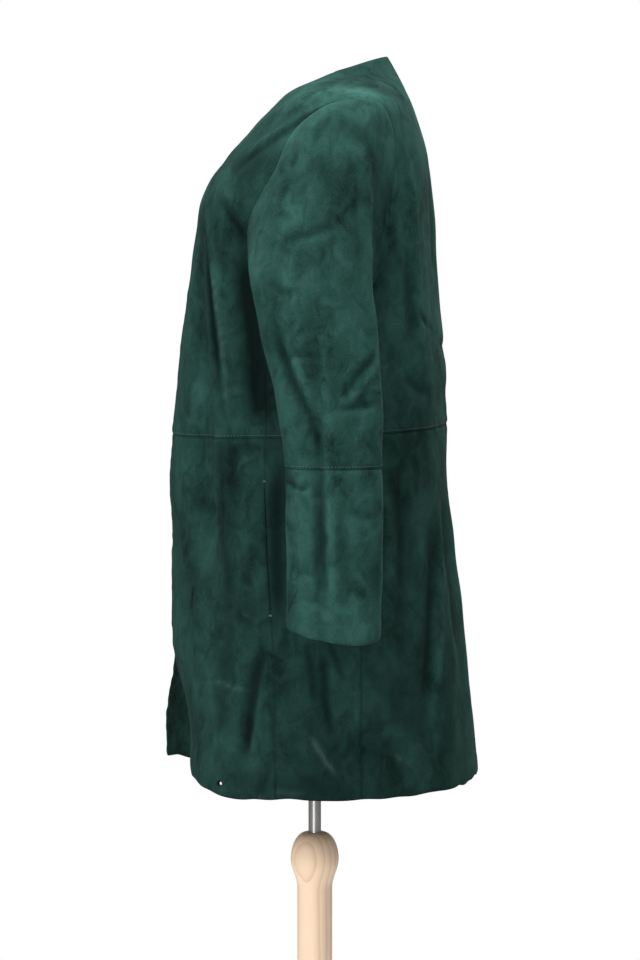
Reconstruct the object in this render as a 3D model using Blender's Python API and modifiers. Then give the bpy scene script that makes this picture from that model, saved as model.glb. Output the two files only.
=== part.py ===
"""Collarless suede coat hung on a limbless dress form, which stands on a turned post.

Metres, +Z up. The origin is on the floor, in the middle of the base. The coat faces -Y and its left is +X.
The coat is cut in panels. Each panel is a wall on one of two smooth surfaces: the body, which is read from
sections stacked up from the hem to the nape, and the sleeve, which leaves the armhole and hangs as a tube.
"""

from collections import namedtuple

import bmesh
import bpy
import numpy as np
from mathutils import Vector

OBJECT_NAME = "suede_coat_on_dress_form"

# Cloth and sewing
WALL = 0.002
SEAM_GAP = 0.0003
POCKET_MOUTH = 0.002
POCKET_HEIGHTS = (0.835, 0.982)
HOLE_ANGLE = 55.0
HOLE_HEIGHT = 0.6405
HOLE_DIAMETER = 0.0045
HOLE_SIDES = 10
HOLE_CUT_DEPTH = 0.020

# Body of the coat: one row a section, from the hem to the nape. Reaches are signed places along Y.
Section = namedtuple("Section", "height half_width centre front back front_power back_power")
BODY_SECTIONS = (
    Section(0.600, 0.228, 0.010, -0.173, 0.196, 2.0, 2.0),
    Section(0.700, 0.215, 0.009, -0.171, 0.186, 2.0, 2.0),
    Section(0.820, 0.203, 0.006, -0.169, 0.173, 2.0, 2.1),
    Section(0.900, 0.194, 0.003, -0.168, 0.162, 2.0, 2.2),
    Section(0.975, 0.186, 0.000, -0.170, 0.155, 2.0, 2.3),
    Section(1.040, 0.182, 0.000, -0.166, 0.155, 2.0, 2.3),
    Section(1.120, 0.185, 0.001, -0.158, 0.153, 2.1, 2.4),
    Section(1.180, 0.190, 0.003, -0.150, 0.147, 2.2, 2.4),
    Section(1.240, 0.194, 0.006, -0.141, 0.142, 2.4, 2.5),
    Section(1.300, 0.197, 0.012, -0.132, 0.138, 2.6, 2.5),
    Section(1.345, 0.199, 0.022, -0.104, 0.132, 2.6, 2.5),
    Section(1.378, 0.200, 0.030, -0.075, 0.123, 2.4, 2.5),
    Section(1.405, 0.197, 0.030, -0.049, 0.115, 2.3, 2.3),
    Section(1.424, 0.143, 0.027, -0.030, 0.107, 2.2, 2.2),
    Section(1.442, 0.084, 0.028, 0.006, 0.097, 2.1, 2.1),
    Section(1.466, 0.062, 0.030, 0.010, 0.084, 2.0, 2.0),
)

# Largest folds of the body: side 1 is left and -1 is right, angles run from the front edge round to the back
Fold = namedtuple("Fold", "side top bottom angle_top angle_middle angle_bottom spread depth")
FOLD_FADE = 0.35
BODY_FOLDS = (
    Fold(1, 0.80, 0.44, 6, 6, 6, 28, -0.026),
    Fold(-1, 0.77, 0.45, 14, 14, 14, 20, 0.017),
    Fold(1, 1.33, 0.78, 36, 52, 56, 5, 0.007),
    Fold(1, 1.33, 0.78, 26, 42, 46, 8, -0.011),
    Fold(-1, 1.33, 0.82, 35, 49, 54, 5, 0.006),
    Fold(-1, 1.33, 0.80, 26, 39, 45, 8, -0.009),
    Fold(1, 1.30, 0.93, 60, 66, 70, 8, -0.015),
    Fold(-1, 1.30, 0.95, 61, 66, 69, 8, -0.013),
    Fold(1, 0.87, 0.55, 76, 66, 57, 6, -0.007),
    Fold(-1, 0.84, 0.50, 70, 62, 56, 7, -0.008),
    Fold(1, 1.42, 0.98, 117, 131, 136, 7, 0.005),
    Fold(-1, 1.42, 0.96, 118, 129, 133, 7, 0.005),
    Fold(1, 1.02, 0.50, 147, 141, 126, 8, 0.006),
    Fold(-1, 0.99, 0.48, 144, 138, 128, 9, 0.007),
)

# Edges and seams of the body, as heights by angle or as distances from the middle by height
HemPoint = namedtuple("HemPoint", "angle left right")
HEM = (
    HemPoint(0, 0.653, 0.646),
    HemPoint(28, 0.640, 0.624),
    HemPoint(42, 0.634, 0.614),
    HemPoint(58, 0.627, 0.617),
    HemPoint(90, 0.632, 0.632),
    HemPoint(135, 0.629, 0.629),
    HemPoint(180, 0.626, 0.626),
)
WAIST_FRONT_HEIGHT = 1.027
WAIST_BACK_HEIGHT = 1.040
FrontEdge = namedtuple("FrontEdge", "height left right")
FRONT_EDGES = (
    FrontEdge(0.600, 0.036, 0.076),
    FrontEdge(0.760, 0.016, 0.030),
    FrontEdge(0.890, 0.006, 0.008),
    FrontEdge(1.040, 0.004, 0.004),
    FrontEdge(1.200, 0.004, 0.004),
    FrontEdge(1.295, 0.005, 0.004),
    FrontEdge(1.350, 0.036, 0.028),
    FrontEdge(1.395, 0.058, 0.046),
    FrontEdge(1.426, 0.071, 0.062),
    FrontEdge(1.442, 0.081, 0.080),
)
FRONT_SEAM_ANGLE = {"hem": 76.0, "waist": 71.0}
BACK_SEAM_ANGLE = {"hem": 101.0, "waist": 107.0}
NAPE_HEIGHT = 1.465
NECK_RISE_POWER = 0.75

# Armhole as seen from the side, by turns of 0 at its top, 90 in front, -90 behind and 180 under the arm
ARMHOLE_MIDDLE = (0.003, 1.262)
ARMHOLE_HALF_DEPTH = 0.079
ARMHOLE_REACH_UP = 0.145
ARMHOLE_REACH_DOWN = 0.085
ARMHOLE_LEAN = 0.046
ARMHOLE_LEAN_POWER = 1.5
ARMHOLE_POWER_UP = 2.3
ARMHOLE_POWER_DOWN = 2.5
ARMHOLE_SCOOP = 0.012
ARMHOLE_SCOOP_TURN = 66.0
ARMHOLE_SCOOP_SPREAD = 16.0
SHOULDER_TURN = 30
FRONT_SEAM_TURN = 135
BACK_SEAM_TURN = -135
TURN_STEP = 15

# Sleeve: one row a ring, from below the armhole to below the cuff. Across is the distance from the middle.
Ring = namedtuple("Ring", "height across fore half_depth half_width")
SLEEVE_RINGS = (
    Ring(1.165, 0.2290, 0.0030, 0.0655, 0.0320),
    Ring(1.085, 0.2345, 0.0150, 0.0585, 0.0320),
    Ring(1.004, 0.2410, 0.0210, 0.0540, 0.0310),
    Ring(0.910, 0.2490, 0.0215, 0.0530, 0.0305),
    Ring(0.790, 0.2580, 0.0215, 0.0510, 0.0300),
)
SLEEVE_POWER = 2.2
SLEEVE_TWIST = 30.0
ELBOW_LEVEL = 2.0
CUFF_HEIGHT = 0.822
CUFF_DIP = 0.008
CUFF_FRONT_RISE = 0.012
SLEEVE_FOLDS = (
    Fold(1, 1.19, 0.98, 52, 38, 25, 10, -0.004),
    Fold(1, 1.03, 0.70, 20, 15, 13, 8, -0.003),
    Fold(1, 1.00, 0.72, 0, 1, 2, 7, 0.002),
    Fold(1, 1.16, 1.00, -70, -40, -15, 10, -0.003),
)
CAP_RISE = (0.050, 0.014)
CAP_FALL = (0.110, 0.016)
CAP_SLOPE = (0.25, 1.10)
CAP_BACK_TUCK = (0.030, -0.040, 0.0)
CAP_BACK_LIFT = 0.09

# Panel grids
FRONT_COLUMNS = 10
SEAM_ROWS = 7
LOWER_ROWS = 10
SHOULDER_COLUMNS = FRONT_COLUMNS
NECK_COLUMNS = 8
CAP_ROWS = 7
UPPER_TUBE_ROWS = 4
LOWER_SLEEVE_ROWS = 5
SAMPLES_A_ROW = 100
SECTION_SAMPLES = 361
ANGLE_STEP = 0.05
LEVEL_STEP = 0.002
SHARP_ANGLE = 40.0
BACK_SIDE_POWER = 3

# Dress form, from its flat underside to the flat top of its neck
FORM_SECTIONS = (
    Section(0.800, 0.140, 0.012, -0.080, 0.105, 2.0, 2.2),
    Section(0.870, 0.160, 0.012, -0.095, 0.122, 2.0, 2.2),
    Section(0.950, 0.150, 0.010, -0.095, 0.112, 2.0, 2.2),
    Section(1.050, 0.120, 0.006, -0.085, 0.088, 2.0, 2.2),
    Section(1.150, 0.130, 0.006, -0.095, 0.105, 2.0, 2.2),
    Section(1.235, 0.150, 0.008, -0.112, 0.122, 2.2, 2.3),
    Section(1.290, 0.160, 0.012, -0.119, 0.124, 2.4, 2.4),
    Section(1.335, 0.170, 0.022, -0.098, 0.120, 2.4, 2.4),
    Section(1.365, 0.176, 0.030, -0.074, 0.110, 2.3, 2.4),
    Section(1.388, 0.172, 0.030, -0.050, 0.102, 2.2, 2.3),
    Section(1.405, 0.128, 0.030, -0.028, 0.094, 2.1, 2.2),
    Section(1.418, 0.075, 0.032, -0.010, 0.084, 2.0, 2.0),
    Section(1.432, 0.056, 0.034, -0.006, 0.076, 2.0, 2.0),
)
FORM_SIDES = 28
FORM_RINGS = 18

# Stand
FIT_GAP = 0.0003
ROD_RADIUS = 0.0075
ROD_IN_FORM = 0.060
ROD_IN_POST = 0.060
ROD_SIDES = 20
POST_TOP = 0.550
POST_RIM_RADIUS = 0.0105
POST_BULGE = (0.0286, 0.518)
POST_NECK = (0.0208, 0.484)
POST_SIDES = 28
BASE_RADIUS = 0.180
BASE_HEIGHT = 0.028
BASE_ROUND = 0.008
BASE_SIDES = 40
ARC_STEPS = 6
MERGE_DISTANCE = 0.00005

# Finishes: base colour, roughness, metallic
FINISHES = {
    "suede": ((0.030, 0.080, 0.066), 0.95, 0.0),
    "jersey": ((0.62, 0.56, 0.47), 0.90, 0.0),
    "steel": ((0.45, 0.44, 0.43), 0.30, 1.0),
    "pine": ((0.72, 0.52, 0.34), 0.55, 0.0),
}


def between_rows(rows, level):
    """Columns of a table at fractional row numbers, on a smooth curve through the rows."""
    table = np.array(rows, dtype=float)
    level = np.asarray(level, dtype=float)
    first = np.clip(np.floor(level).astype(int), 0, len(rows) - 2)
    part = (level - first)[..., None]
    low = table[first]
    high = table[first + 1]
    before = table[np.maximum(first - 1, 0)]
    after = table[np.minimum(first + 2, len(rows) - 1)]
    bend = 2 * before - 5 * low + 4 * high - after
    twist = 3 * low - before - 3 * high + after
    columns = low + 0.5 * part * ((high - before) + part * (bend + part * twist))
    return type(rows[0])(*np.moveaxis(columns, -1, 0))


def column_by(rows, key, column, value):
    """A column of a table read where another, rising column has the given value."""
    levels = np.linspace(0, len(rows) - 1, SAMPLES_A_ROW * len(rows))
    smooth = between_rows(rows, levels)
    return np.interp(value, getattr(smooth, key), getattr(smooth, column))


def level_at(rows, height):
    """Fractional row number where a table of sections reaches a height."""
    levels = np.linspace(0, len(rows) - 1, SAMPLES_A_ROW * len(rows))
    return np.interp(height, between_rows(rows, levels).height, levels)


def ease(part):
    """Smooth step from 0 to 1."""
    part = np.clip(part, 0.0, 1.0)
    return part * part * (3 - 2 * part)


def fold_depth(folds, angle, height, one_sided=True):
    """How far the folds push a surface out at an angle in degrees and a height.

    A one-sided fold ends at the front middle, where the coat is open.
    """
    signed = (angle + 180.0) % 360.0 - 180.0
    depth = np.zeros_like(height)
    for fold in folds:
        down = (fold.top - height) / (fold.top - fold.bottom)
        slope = 4 * fold.angle_middle - 3 * fold.angle_top - fold.angle_bottom
        curve = fold.angle_top - 2 * fold.angle_middle + fold.angle_bottom
        middle = fold.angle_top + down * (slope + 2 * curve * down)
        on_side = fold.side * signed > (0 if one_sided else -180)
        bell = on_side * np.exp(-(((fold.side * signed - middle) / fold.spread) ** 2))
        depth = depth + fold.depth * bell * ease(np.minimum(down, 1 - down) / FOLD_FADE)
    return depth


def section_radius(section, angle):
    """Distance from a section's centre to its outline at an angle in degrees from the front."""
    sine = np.sin(np.radians(angle))
    cosine = np.cos(np.radians(angle))
    ahead = cosine > 0
    reach = np.where(ahead, section.centre - section.front, section.back - section.centre)
    power = np.where(ahead, section.front_power, section.back_power)
    sides = np.abs(sine / section.half_width) ** power + np.abs(cosine / reach) ** power
    return sides ** (-1 / power)


def torso_points(rows, folds, angle, level):
    """Points of a torso surface at angles in degrees and fractional row numbers."""
    section = between_rows(rows, level)
    radius = section_radius(section, angle) + fold_depth(folds, angle, section.height)
    x = radius * np.sin(np.radians(angle))
    y = section.centre - radius * np.cos(np.radians(angle))
    return np.stack([x, y, section.height], axis=-1)


def body_points(places):
    """Points of the coat's body at (angle, level) places."""
    return torso_points(BODY_SECTIONS, BODY_FOLDS, places[..., 0], places[..., 1])


def angle_where(level, side_value, axis):
    """Angle, 0 to 180, at which the plain body section at a level has a given x or y."""
    top_angle = 90.0 if axis == 0 else 180.0
    angles = np.linspace(0.0, top_angle, SECTION_SAMPLES)
    points = torso_points(BODY_SECTIONS, (), angles, np.full_like(angles, level))
    return np.interp(side_value, points[:, axis], angles)


def hem_height(angle, side=1):
    """Height of the hem, which differs between the sides only near the front edges."""
    return column_by(HEM, "angle", "left" if side > 0 else "right", angle)


def waist_height(angle):
    back_share = (1 - np.cos(np.radians(angle))) / 2
    return WAIST_FRONT_HEIGHT + (WAIST_BACK_HEIGHT - WAIST_FRONT_HEIGHT) * back_share


def places_at(angle, height):
    """(angle, level) places from angles and heights."""
    angle = np.asarray(angle, dtype=float)
    return np.stack([angle, level_at(BODY_SECTIONS, height)], axis=-1)


def along(start, end, steps):
    """Evenly spaced places from one to another."""
    return np.linspace(start, end, steps + 1)


def front_edge(side, heights):
    """Places of the open front edge and neckline of one side."""
    column = "left" if side > 0 else "right"
    distances = column_by(FRONT_EDGES, "height", column, heights)
    levels = level_at(BODY_SECTIONS, heights)
    angles = [angle_where(level, distance, 0) for level, distance in zip(levels, distances)]
    return np.stack([np.array(angles), levels], axis=-1)


def armhole(turns):
    """Places on the body of the armhole's edge at turns in degrees."""
    sine = np.sin(np.radians(turns))
    cosine = np.cos(np.radians(turns))
    up = cosine > 0
    power = np.where(up, ARMHOLE_POWER_UP, ARMHOLE_POWER_DOWN)
    scale = (np.abs(sine) ** power + np.abs(cosine) ** power) ** (-1 / power)
    lean = ARMHOLE_LEAN * np.maximum(cosine, 0.0) ** ARMHOLE_LEAN_POWER
    scoop = ARMHOLE_SCOOP * np.exp(-(((turns - ARMHOLE_SCOOP_TURN) / ARMHOLE_SCOOP_SPREAD) ** 2))
    y = ARMHOLE_MIDDLE[0] + lean + scoop - ARMHOLE_HALF_DEPTH * scale * sine
    reach = np.where(up, ARMHOLE_REACH_UP, ARMHOLE_REACH_DOWN)
    levels = level_at(BODY_SECTIONS, ARMHOLE_MIDDLE[1] + reach * scale * cosine)
    angles = [angle_where(level, value, 1) for level, value in zip(levels, y)]
    return np.stack([np.array(angles), levels], axis=-1)


def turns_between(start, end):
    """Armhole turns from one corner to another, a fixed step apart."""
    return np.linspace(start, end, round(abs(end - start) / TURN_STEP) + 1)


def side_seam(angles, corner_turn):
    """Places of a side seam from the waist up to its corner on the armhole."""
    waist = places_at(angles["waist"], waist_height(angles["waist"]))
    return along(waist, armhole(np.array([corner_turn]))[0], SEAM_ROWS)


def skirt_seam(angles):
    """Places of a side seam from the hem up to the waist."""
    hem = places_at(angles["hem"], hem_height(angles["hem"]))
    waist = places_at(angles["waist"], waist_height(angles["waist"]))
    return along(hem, waist, LOWER_ROWS)


def joined(first, second):
    """Two runs of places that meet, as one run."""
    return np.concatenate([first, second[1:]])


def filled(bottom, top, left, right, side_power=1):
    """Grid of places between four edges that share their corners.

    The bends of the left and right edges die out towards the other side, faster with a higher power.
    """
    across = np.linspace(0, 1, len(bottom))[None, :, None]
    up = np.linspace(0, 1, len(left))[:, None, None]
    ruled_up = (1 - up) * bottom[None] + up * top[None]
    left_bend = left[:, None] - (1 - up) * bottom[0] - up * top[0]
    right_bend = right[:, None] - (1 - up) * bottom[-1] - up * top[-1]
    return ruled_up + (1 - across) ** side_power * left_bend + across ** side_power * right_bend


def waist_run(start, end, columns):
    angles = np.linspace(start, end, columns + 1)
    return places_at(angles, waist_height(angles))


def hem_run(start, end, columns, side=1):
    angles = np.linspace(start, end, columns + 1)
    folded_round = np.where(angles > 180, 360 - angles, angles)
    return places_at(angles, hem_height(folded_round, side))


def neck_point(side):
    """Place where the neckline meets the shoulder seam."""
    return front_edge(side, np.array([FRONT_EDGES[-1].height]))[0]


def front_upper(side):
    """Places of a front above the waist: front edge, shoulder, armhole and side seam."""
    armhole_run = armhole(turns_between(FRONT_SEAM_TURN, SHOULDER_TURN))
    right = joined(side_seam(FRONT_SEAM_ANGLE, FRONT_SEAM_TURN), armhole_run)
    heights = np.linspace(WAIST_FRONT_HEIGHT, FRONT_EDGES[-1].height, len(right))
    left = front_edge(side, heights)
    bottom = waist_run(left[0, 0], right[0, 0], FRONT_COLUMNS)
    left[0] = bottom[0]
    top = along(left[-1], right[-1], FRONT_COLUMNS)
    return filled(bottom, top, left, right)


def side_upper(side):
    """Places of a side panel above the waist, up to the bottom of the armhole."""
    left = side_seam(FRONT_SEAM_ANGLE, FRONT_SEAM_TURN)
    right = side_seam(BACK_SEAM_ANGLE, BACK_SEAM_TURN)
    top = armhole(turns_between(FRONT_SEAM_TURN, 360 + BACK_SEAM_TURN))
    bottom = waist_run(left[0, 0], right[0, 0], len(top) - 1)
    return filled(bottom, top, left, right)


def mirrored(places):
    """The same places on the other side of the body, counted on past the back."""
    return np.stack([360 - places[..., 0], places[..., 1]], axis=-1)


def back_upper(side):
    """Places of the back above the waist, from the left armhole round to the right one."""
    left = joined(side_seam(BACK_SEAM_ANGLE, BACK_SEAM_TURN),
                  armhole(turns_between(BACK_SEAM_TURN, SHOULDER_TURN)))
    right = mirrored(left)
    neck_left = neck_point(1)
    neck_right = mirrored(neck_point(-1))
    neck_angles = np.linspace(neck_left[0], neck_right[0], NECK_COLUMNS + 1)
    nape_share = np.cos(np.radians(neck_left[0])) - np.cos(np.radians(neck_angles))
    nape_share = (np.maximum(nape_share, 0.0) / nape_share.max()) ** NECK_RISE_POWER
    nape_level = level_at(BODY_SECTIONS, NAPE_HEIGHT)
    neck_levels = neck_left[1] + (nape_level - neck_left[1]) * nape_share
    neck = np.stack([neck_angles, neck_levels], axis=-1)
    neck[-1] = neck_right
    top = joined(joined(along(left[-1], neck[0], SHOULDER_COLUMNS), neck),
                 along(neck[-1], right[-1], SHOULDER_COLUMNS))
    bottom = waist_run(left[0, 0], right[0, 0], len(top) - 1)
    return filled(bottom, top, left, right, BACK_SIDE_POWER)


def front_lower(side):
    """Places of a front below the waist."""
    right = skirt_seam(FRONT_SEAM_ANGLE)
    heights = np.linspace(hem_height(0.0, side), WAIST_FRONT_HEIGHT, len(right))
    left = front_edge(side, heights)
    bottom = hem_run(left[0, 0], right[0, 0], FRONT_COLUMNS, side)
    top = waist_run(left[-1, 0], right[-1, 0], FRONT_COLUMNS)
    left[0] = bottom[0]
    left[-1] = top[0]
    return filled(bottom, top, left, right)


def side_lower(side):
    """Places of a side panel below the waist."""
    left = skirt_seam(FRONT_SEAM_ANGLE)
    right = skirt_seam(BACK_SEAM_ANGLE)
    columns = len(turns_between(FRONT_SEAM_TURN, 360 + BACK_SEAM_TURN)) - 1
    bottom = hem_run(left[0, 0], right[0, 0], columns)
    top = waist_run(left[-1, 0], right[-1, 0], columns)
    return filled(bottom, top, left, right)


def back_lower(side):
    """Places of the back below the waist."""
    left = skirt_seam(BACK_SEAM_ANGLE)
    right = mirrored(left)
    columns = 2 * SHOULDER_COLUMNS + NECK_COLUMNS
    bottom = hem_run(left[0, 0], right[0, 0], columns)
    top = waist_run(left[-1, 0], right[-1, 0], columns)
    return filled(bottom, top, left, right)


def tube_points(turn, level):
    """Points of the hanging part of the left sleeve at turns, 0 outwards and 90 forwards, and ring levels."""
    ring = between_rows(SLEEVE_RINGS, level)
    sine = np.sin(np.radians(turn))
    cosine = np.cos(np.radians(turn))
    scale = (np.abs(sine) ** SLEEVE_POWER + np.abs(cosine) ** SLEEVE_POWER) ** (-1 / SLEEVE_POWER)
    folds = 1 + fold_depth(SLEEVE_FOLDS, turn, ring.height, one_sided=False) / ring.half_width
    x = ring.across + ring.half_width * scale * cosine * folds
    y = ring.fore - ring.half_depth * scale * sine
    return np.stack([x, y, ring.height], axis=-1)


def cap_points(turn, share):
    """Points of the left sleeve's cap, from the armhole at share 0 to the first ring at share 1."""
    start = body_points(armhole(turn))
    tube_turn = turn - SLEEVE_TWIST * (1 - np.abs(turn) / 180)
    end = tube_points(tube_turn, np.zeros_like(turn))
    below = tube_points(tube_turn, np.full_like(turn, LEVEL_STEP))
    down = (below - end) / np.linalg.norm(below - end, axis=-1, keepdims=True)
    low = (1 - np.cos(np.radians(turn))) / 2
    slope = CAP_SLOPE[0] + (CAP_SLOPE[1] - CAP_SLOPE[0]) * low
    leave = np.stack([np.ones_like(turn), np.zeros_like(turn), -slope], axis=-1)
    leave = leave / np.linalg.norm(leave, axis=-1, keepdims=True)
    rise = (CAP_RISE[0] + (CAP_RISE[1] - CAP_RISE[0]) * low)[..., None]
    fall = (CAP_FALL[0] + (CAP_FALL[1] - CAP_FALL[0]) * low)[..., None]
    behind = np.maximum(0.0, -np.sin(np.radians(turn)))[..., None]
    first = start + rise * leave + behind * np.array(CAP_BACK_TUCK)
    second = end - fall * (down + behind * np.array([0.0, CAP_BACK_LIFT, 0.0]))
    share = share[..., None]
    rest = 1 - share
    return rest ** 3 * start + 3 * rest ** 2 * share * first + 3 * rest * share ** 2 * second + share ** 3 * end


def sleeve_points(places):
    """Points of the left sleeve at (turn, level) places: levels below 0 are on the cap, -1 at the armhole."""
    turn = places[..., 0]
    level = places[..., 1]
    on_cap = cap_points(turn.ravel(), np.clip(level.ravel() + 1, 0, 1)).reshape(*turn.shape, 3)
    tube_turn = turn - SLEEVE_TWIST * (1 - np.abs(turn) / 180)
    on_tube = tube_points(tube_turn, np.maximum(level, 0))
    return np.where((level < 0)[..., None], on_cap, on_tube)


def sleeve_turns():
    """Turns of a sleeve's columns, from the seam under the arm round to it again."""
    return np.linspace(-180.0, 180.0, round(360 / TURN_STEP) + 1)


def sleeve_upper(side):
    """Places of an upper sleeve, from the armhole to the elbow seam."""
    levels = joined(np.linspace(-1, 0, CAP_ROWS + 1), np.linspace(0, ELBOW_LEVEL, UPPER_TUBE_ROWS + 1))
    turn, level = np.meshgrid(sleeve_turns(), levels)
    return np.stack([turn, level], axis=-1)


def sleeve_lower(side):
    """Places of a lower sleeve, from the elbow seam to the cuff, low outside and high in front."""
    turns = sleeve_turns()
    cuff_heights = CUFF_HEIGHT - CUFF_DIP * (1 + np.cos(np.radians(turns))) / 2
    cuff_heights = cuff_heights + CUFF_FRONT_RISE * np.maximum(np.sin(np.radians(turns)), 0.0) ** 2
    rows = tuple(reversed(SLEEVE_RINGS))
    cuff = len(rows) - 1 - level_at(rows, cuff_heights)
    share = np.linspace(0, 1, LOWER_SLEEVE_ROWS + 1)[:, None]
    level = ELBOW_LEVEL + share * (cuff - ELBOW_LEVEL)
    return np.stack([np.broadcast_to(turns, level.shape), level], axis=-1)


def outward(points_of, places):
    """Unit normals of a surface at its places, from small steps along it."""
    step_across = np.array([ANGLE_STEP, 0.0])
    step_along = np.array([0.0, LEVEL_STEP])
    across = points_of(places + step_across) - points_of(places - step_across)
    upward = points_of(places + step_along) - points_of(places - step_along)
    normal = np.cross(across, upward)
    return normal / np.linalg.norm(normal, axis=-1, keepdims=True)


def drawn_in(grid, gap):
    """A grid of points with its four edges moved in by a gap."""
    grid = grid.copy()
    for edge, inner in ((0, 1), (-1, -2)):
        for lines in (grid, grid.swapaxes(0, 1)):
            towards = lines[inner] - lines[edge]
            lines[edge] += gap * towards / np.linalg.norm(towards, axis=-1, keepdims=True)
    return grid


def open_pocket(grid, column, inner_column):
    """Draw in a side seam's column where the pocket's mouth is."""
    heights = grid[:, column, 2]
    inside = (heights > POCKET_HEIGHTS[0]) & (heights < POCKET_HEIGHTS[1])
    towards = grid[:, inner_column] - grid[:, column]
    towards = towards / np.linalg.norm(towards, axis=-1, keepdims=True)
    grid[:, column] += np.where(inside, POCKET_MOUTH / 2, 0.0)[:, None] * towards


def cloth_wall(name, outer, inner, collection, finish):
    """A closed wall between two grids of points: a flat grid, extruded and then shaped."""
    rows, columns = outer.shape[0] - 1, outer.shape[1] - 1
    shape = bmesh.new()
    bmesh.ops.create_grid(shape, x_segments=columns, y_segments=rows, size=1.0)
    extruded = bmesh.ops.extrude_face_region(shape, geom=shape.faces[:])
    new_corners = {item for item in extruded["geom"] if isinstance(item, bmesh.types.BMVert)}
    for corner in shape.verts:
        column = round((corner.co.x + 1) / 2 * columns)
        row = round((corner.co.y + 1) / 2 * rows)
        corner.co = outer[row, column] if corner in new_corners else inner[row, column]
    bmesh.ops.recalc_face_normals(shape, faces=shape.faces[:])
    if shape.calc_volume(signed=True) < 0:
        bmesh.ops.reverse_faces(shape, faces=shape.faces[:])
    return named_object(name, shape, collection, finish)


def named_object(name, shape, collection, finish):
    """An object made from an edit mesh, with its finish, in a collection."""
    mesh = bpy.data.meshes.new(name)
    shape.to_mesh(mesh)
    shape.free()
    mesh.shade_smooth()
    mesh.set_sharp_from_angle(angle=np.radians(SHARP_ANGLE))
    mesh.materials.append(finish)
    piece = bpy.data.objects.new(name, mesh)
    collection.objects.link(piece)
    return piece


def coat_panel(name, places_of, side, collection, finish):
    """One cut panel of the coat's body."""
    places = places_of(side) * np.array([side, 1])
    points = body_points(places)
    inner = points - WALL * outward(body_points, places)
    outer = drawn_in(points, SEAM_GAP / 2)
    inner = drawn_in(inner, SEAM_GAP / 2)
    for grid in (outer, inner):
        if places_of is front_lower:
            open_pocket(grid, -1, -2)
        if places_of is side_lower:
            open_pocket(grid, 0, 1)
    return cloth_wall(name, outer, inner, collection, finish)


def sleeve_panel(name, places_of, side, collection, finish):
    """One cut piece of a sleeve, sewn into a tube along its seam under the arm."""
    places = places_of(side)
    points = sleeve_points(places)
    inner = points - WALL * outward(sleeve_points, places)
    mirror = np.array([side, 1, 1])
    outer = drawn_in(points, SEAM_GAP / 2) * mirror
    inner = drawn_in(inner, SEAM_GAP / 2) * mirror
    return cloth_wall(name, outer, inner, collection, finish)


def cut_hole(panel, cutters):
    """A small worn hole through a panel, near its hem."""
    place = places_at(HOLE_ANGLE, HOLE_HEIGHT)
    middle = body_points(place)
    direction = outward(body_points, place)
    shape = bmesh.new()
    bmesh.ops.create_cone(shape, cap_ends=True, segments=HOLE_SIDES, radius1=HOLE_DIAMETER / 2,
                          radius2=HOLE_DIAMETER / 2, depth=HOLE_CUT_DEPTH)
    mesh = bpy.data.meshes.new("hole_cutter")
    shape.to_mesh(mesh)
    shape.free()
    cutter = bpy.data.objects.new("hole_cutter", mesh)
    cutter.rotation_mode = "QUATERNION"
    cutter.rotation_quaternion = Vector(direction).to_track_quat("Z", "Y")
    cutter.location = middle
    subtract(panel, cutter, cutters)


def subtract(piece, cutter, cutters):
    """Cut one piece by a hidden cutter."""
    cutter.hide_render = True
    cutter.display_type = "WIRE"
    cutters.objects.link(cutter)
    cut = piece.modifiers.new("cut", "BOOLEAN")
    cut.operation = "DIFFERENCE"
    cut.object = cutter


def dress_form(collection, cutters, finish):
    """A smooth limbless form: a capped cylinder whose rings take the sections' shape, with a socket below."""
    shape = bmesh.new()
    bmesh.ops.create_cone(shape, cap_ends=True, segments=FORM_SIDES, radius1=1.0, radius2=1.0, depth=1.0)
    upright = [edge for edge in shape.edges if abs(edge.verts[0].co.z - edge.verts[1].co.z) > 0.5]
    bmesh.ops.subdivide_edges(shape, edges=upright, cuts=FORM_RINGS - 1, use_grid_fill=True)
    corners = np.array([corner.co for corner in shape.verts])
    angles = np.degrees(np.arctan2(corners[:, 0], -corners[:, 1]))
    levels = (corners[:, 2] + 0.5) * (len(FORM_SECTIONS) - 1)
    for corner, point in zip(shape.verts, torso_points(FORM_SECTIONS, (), angles, levels)):
        corner.co = point
    form = named_object("dress_form", shape, collection, finish)
    socket = rod_shape("socket_cutter", ROD_RADIUS + FIT_GAP, FORM_SECTIONS[0].height - ROD_IN_FORM,
                       FORM_SECTIONS[0].height + ROD_IN_FORM + FIT_GAP)
    subtract(form, socket, cutters)


def rod_shape(name, radius, bottom, top):
    """A plain round bar on the stand's axis."""
    shape = bmesh.new()
    bmesh.ops.create_cone(shape, cap_ends=True, segments=ROD_SIDES, radius1=radius, radius2=radius,
                          depth=top - bottom)
    bmesh.ops.translate(shape, verts=shape.verts[:], vec=(0, 0, (bottom + top) / 2))
    mesh = bpy.data.meshes.new(name)
    shape.to_mesh(mesh)
    shape.free()
    return bpy.data.objects.new(name, mesh)


def stand_rod(collection, finish):
    """Steel rod from the post's bore up into the form's socket."""
    rod = rod_shape("stand_rod", ROD_RADIUS, POST_TOP - ROD_IN_POST + FIT_GAP,
                    FORM_SECTIONS[0].height + ROD_IN_FORM)
    rod.data.materials.append(finish)
    collection.objects.link(rod)


def turned(name, profile, sides, collection, finish):
    """A turned piece from a profile of (radius, height) points that ends on the axis."""
    mesh = bpy.data.meshes.new(name)
    corners = [(radius, 0.0, height) for radius, height in profile]
    mesh.from_pydata(corners, [(i, i + 1) for i in range(len(corners) - 1)], [])
    mesh.materials.append(finish)
    piece = bpy.data.objects.new(name, mesh)
    collection.objects.link(piece)
    screw = piece.modifiers.new("turn", "SCREW")
    screw.steps = sides
    screw.render_steps = sides
    screw.use_merge_vertices = True
    screw.merge_threshold = MERGE_DISTANCE
    return piece


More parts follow.
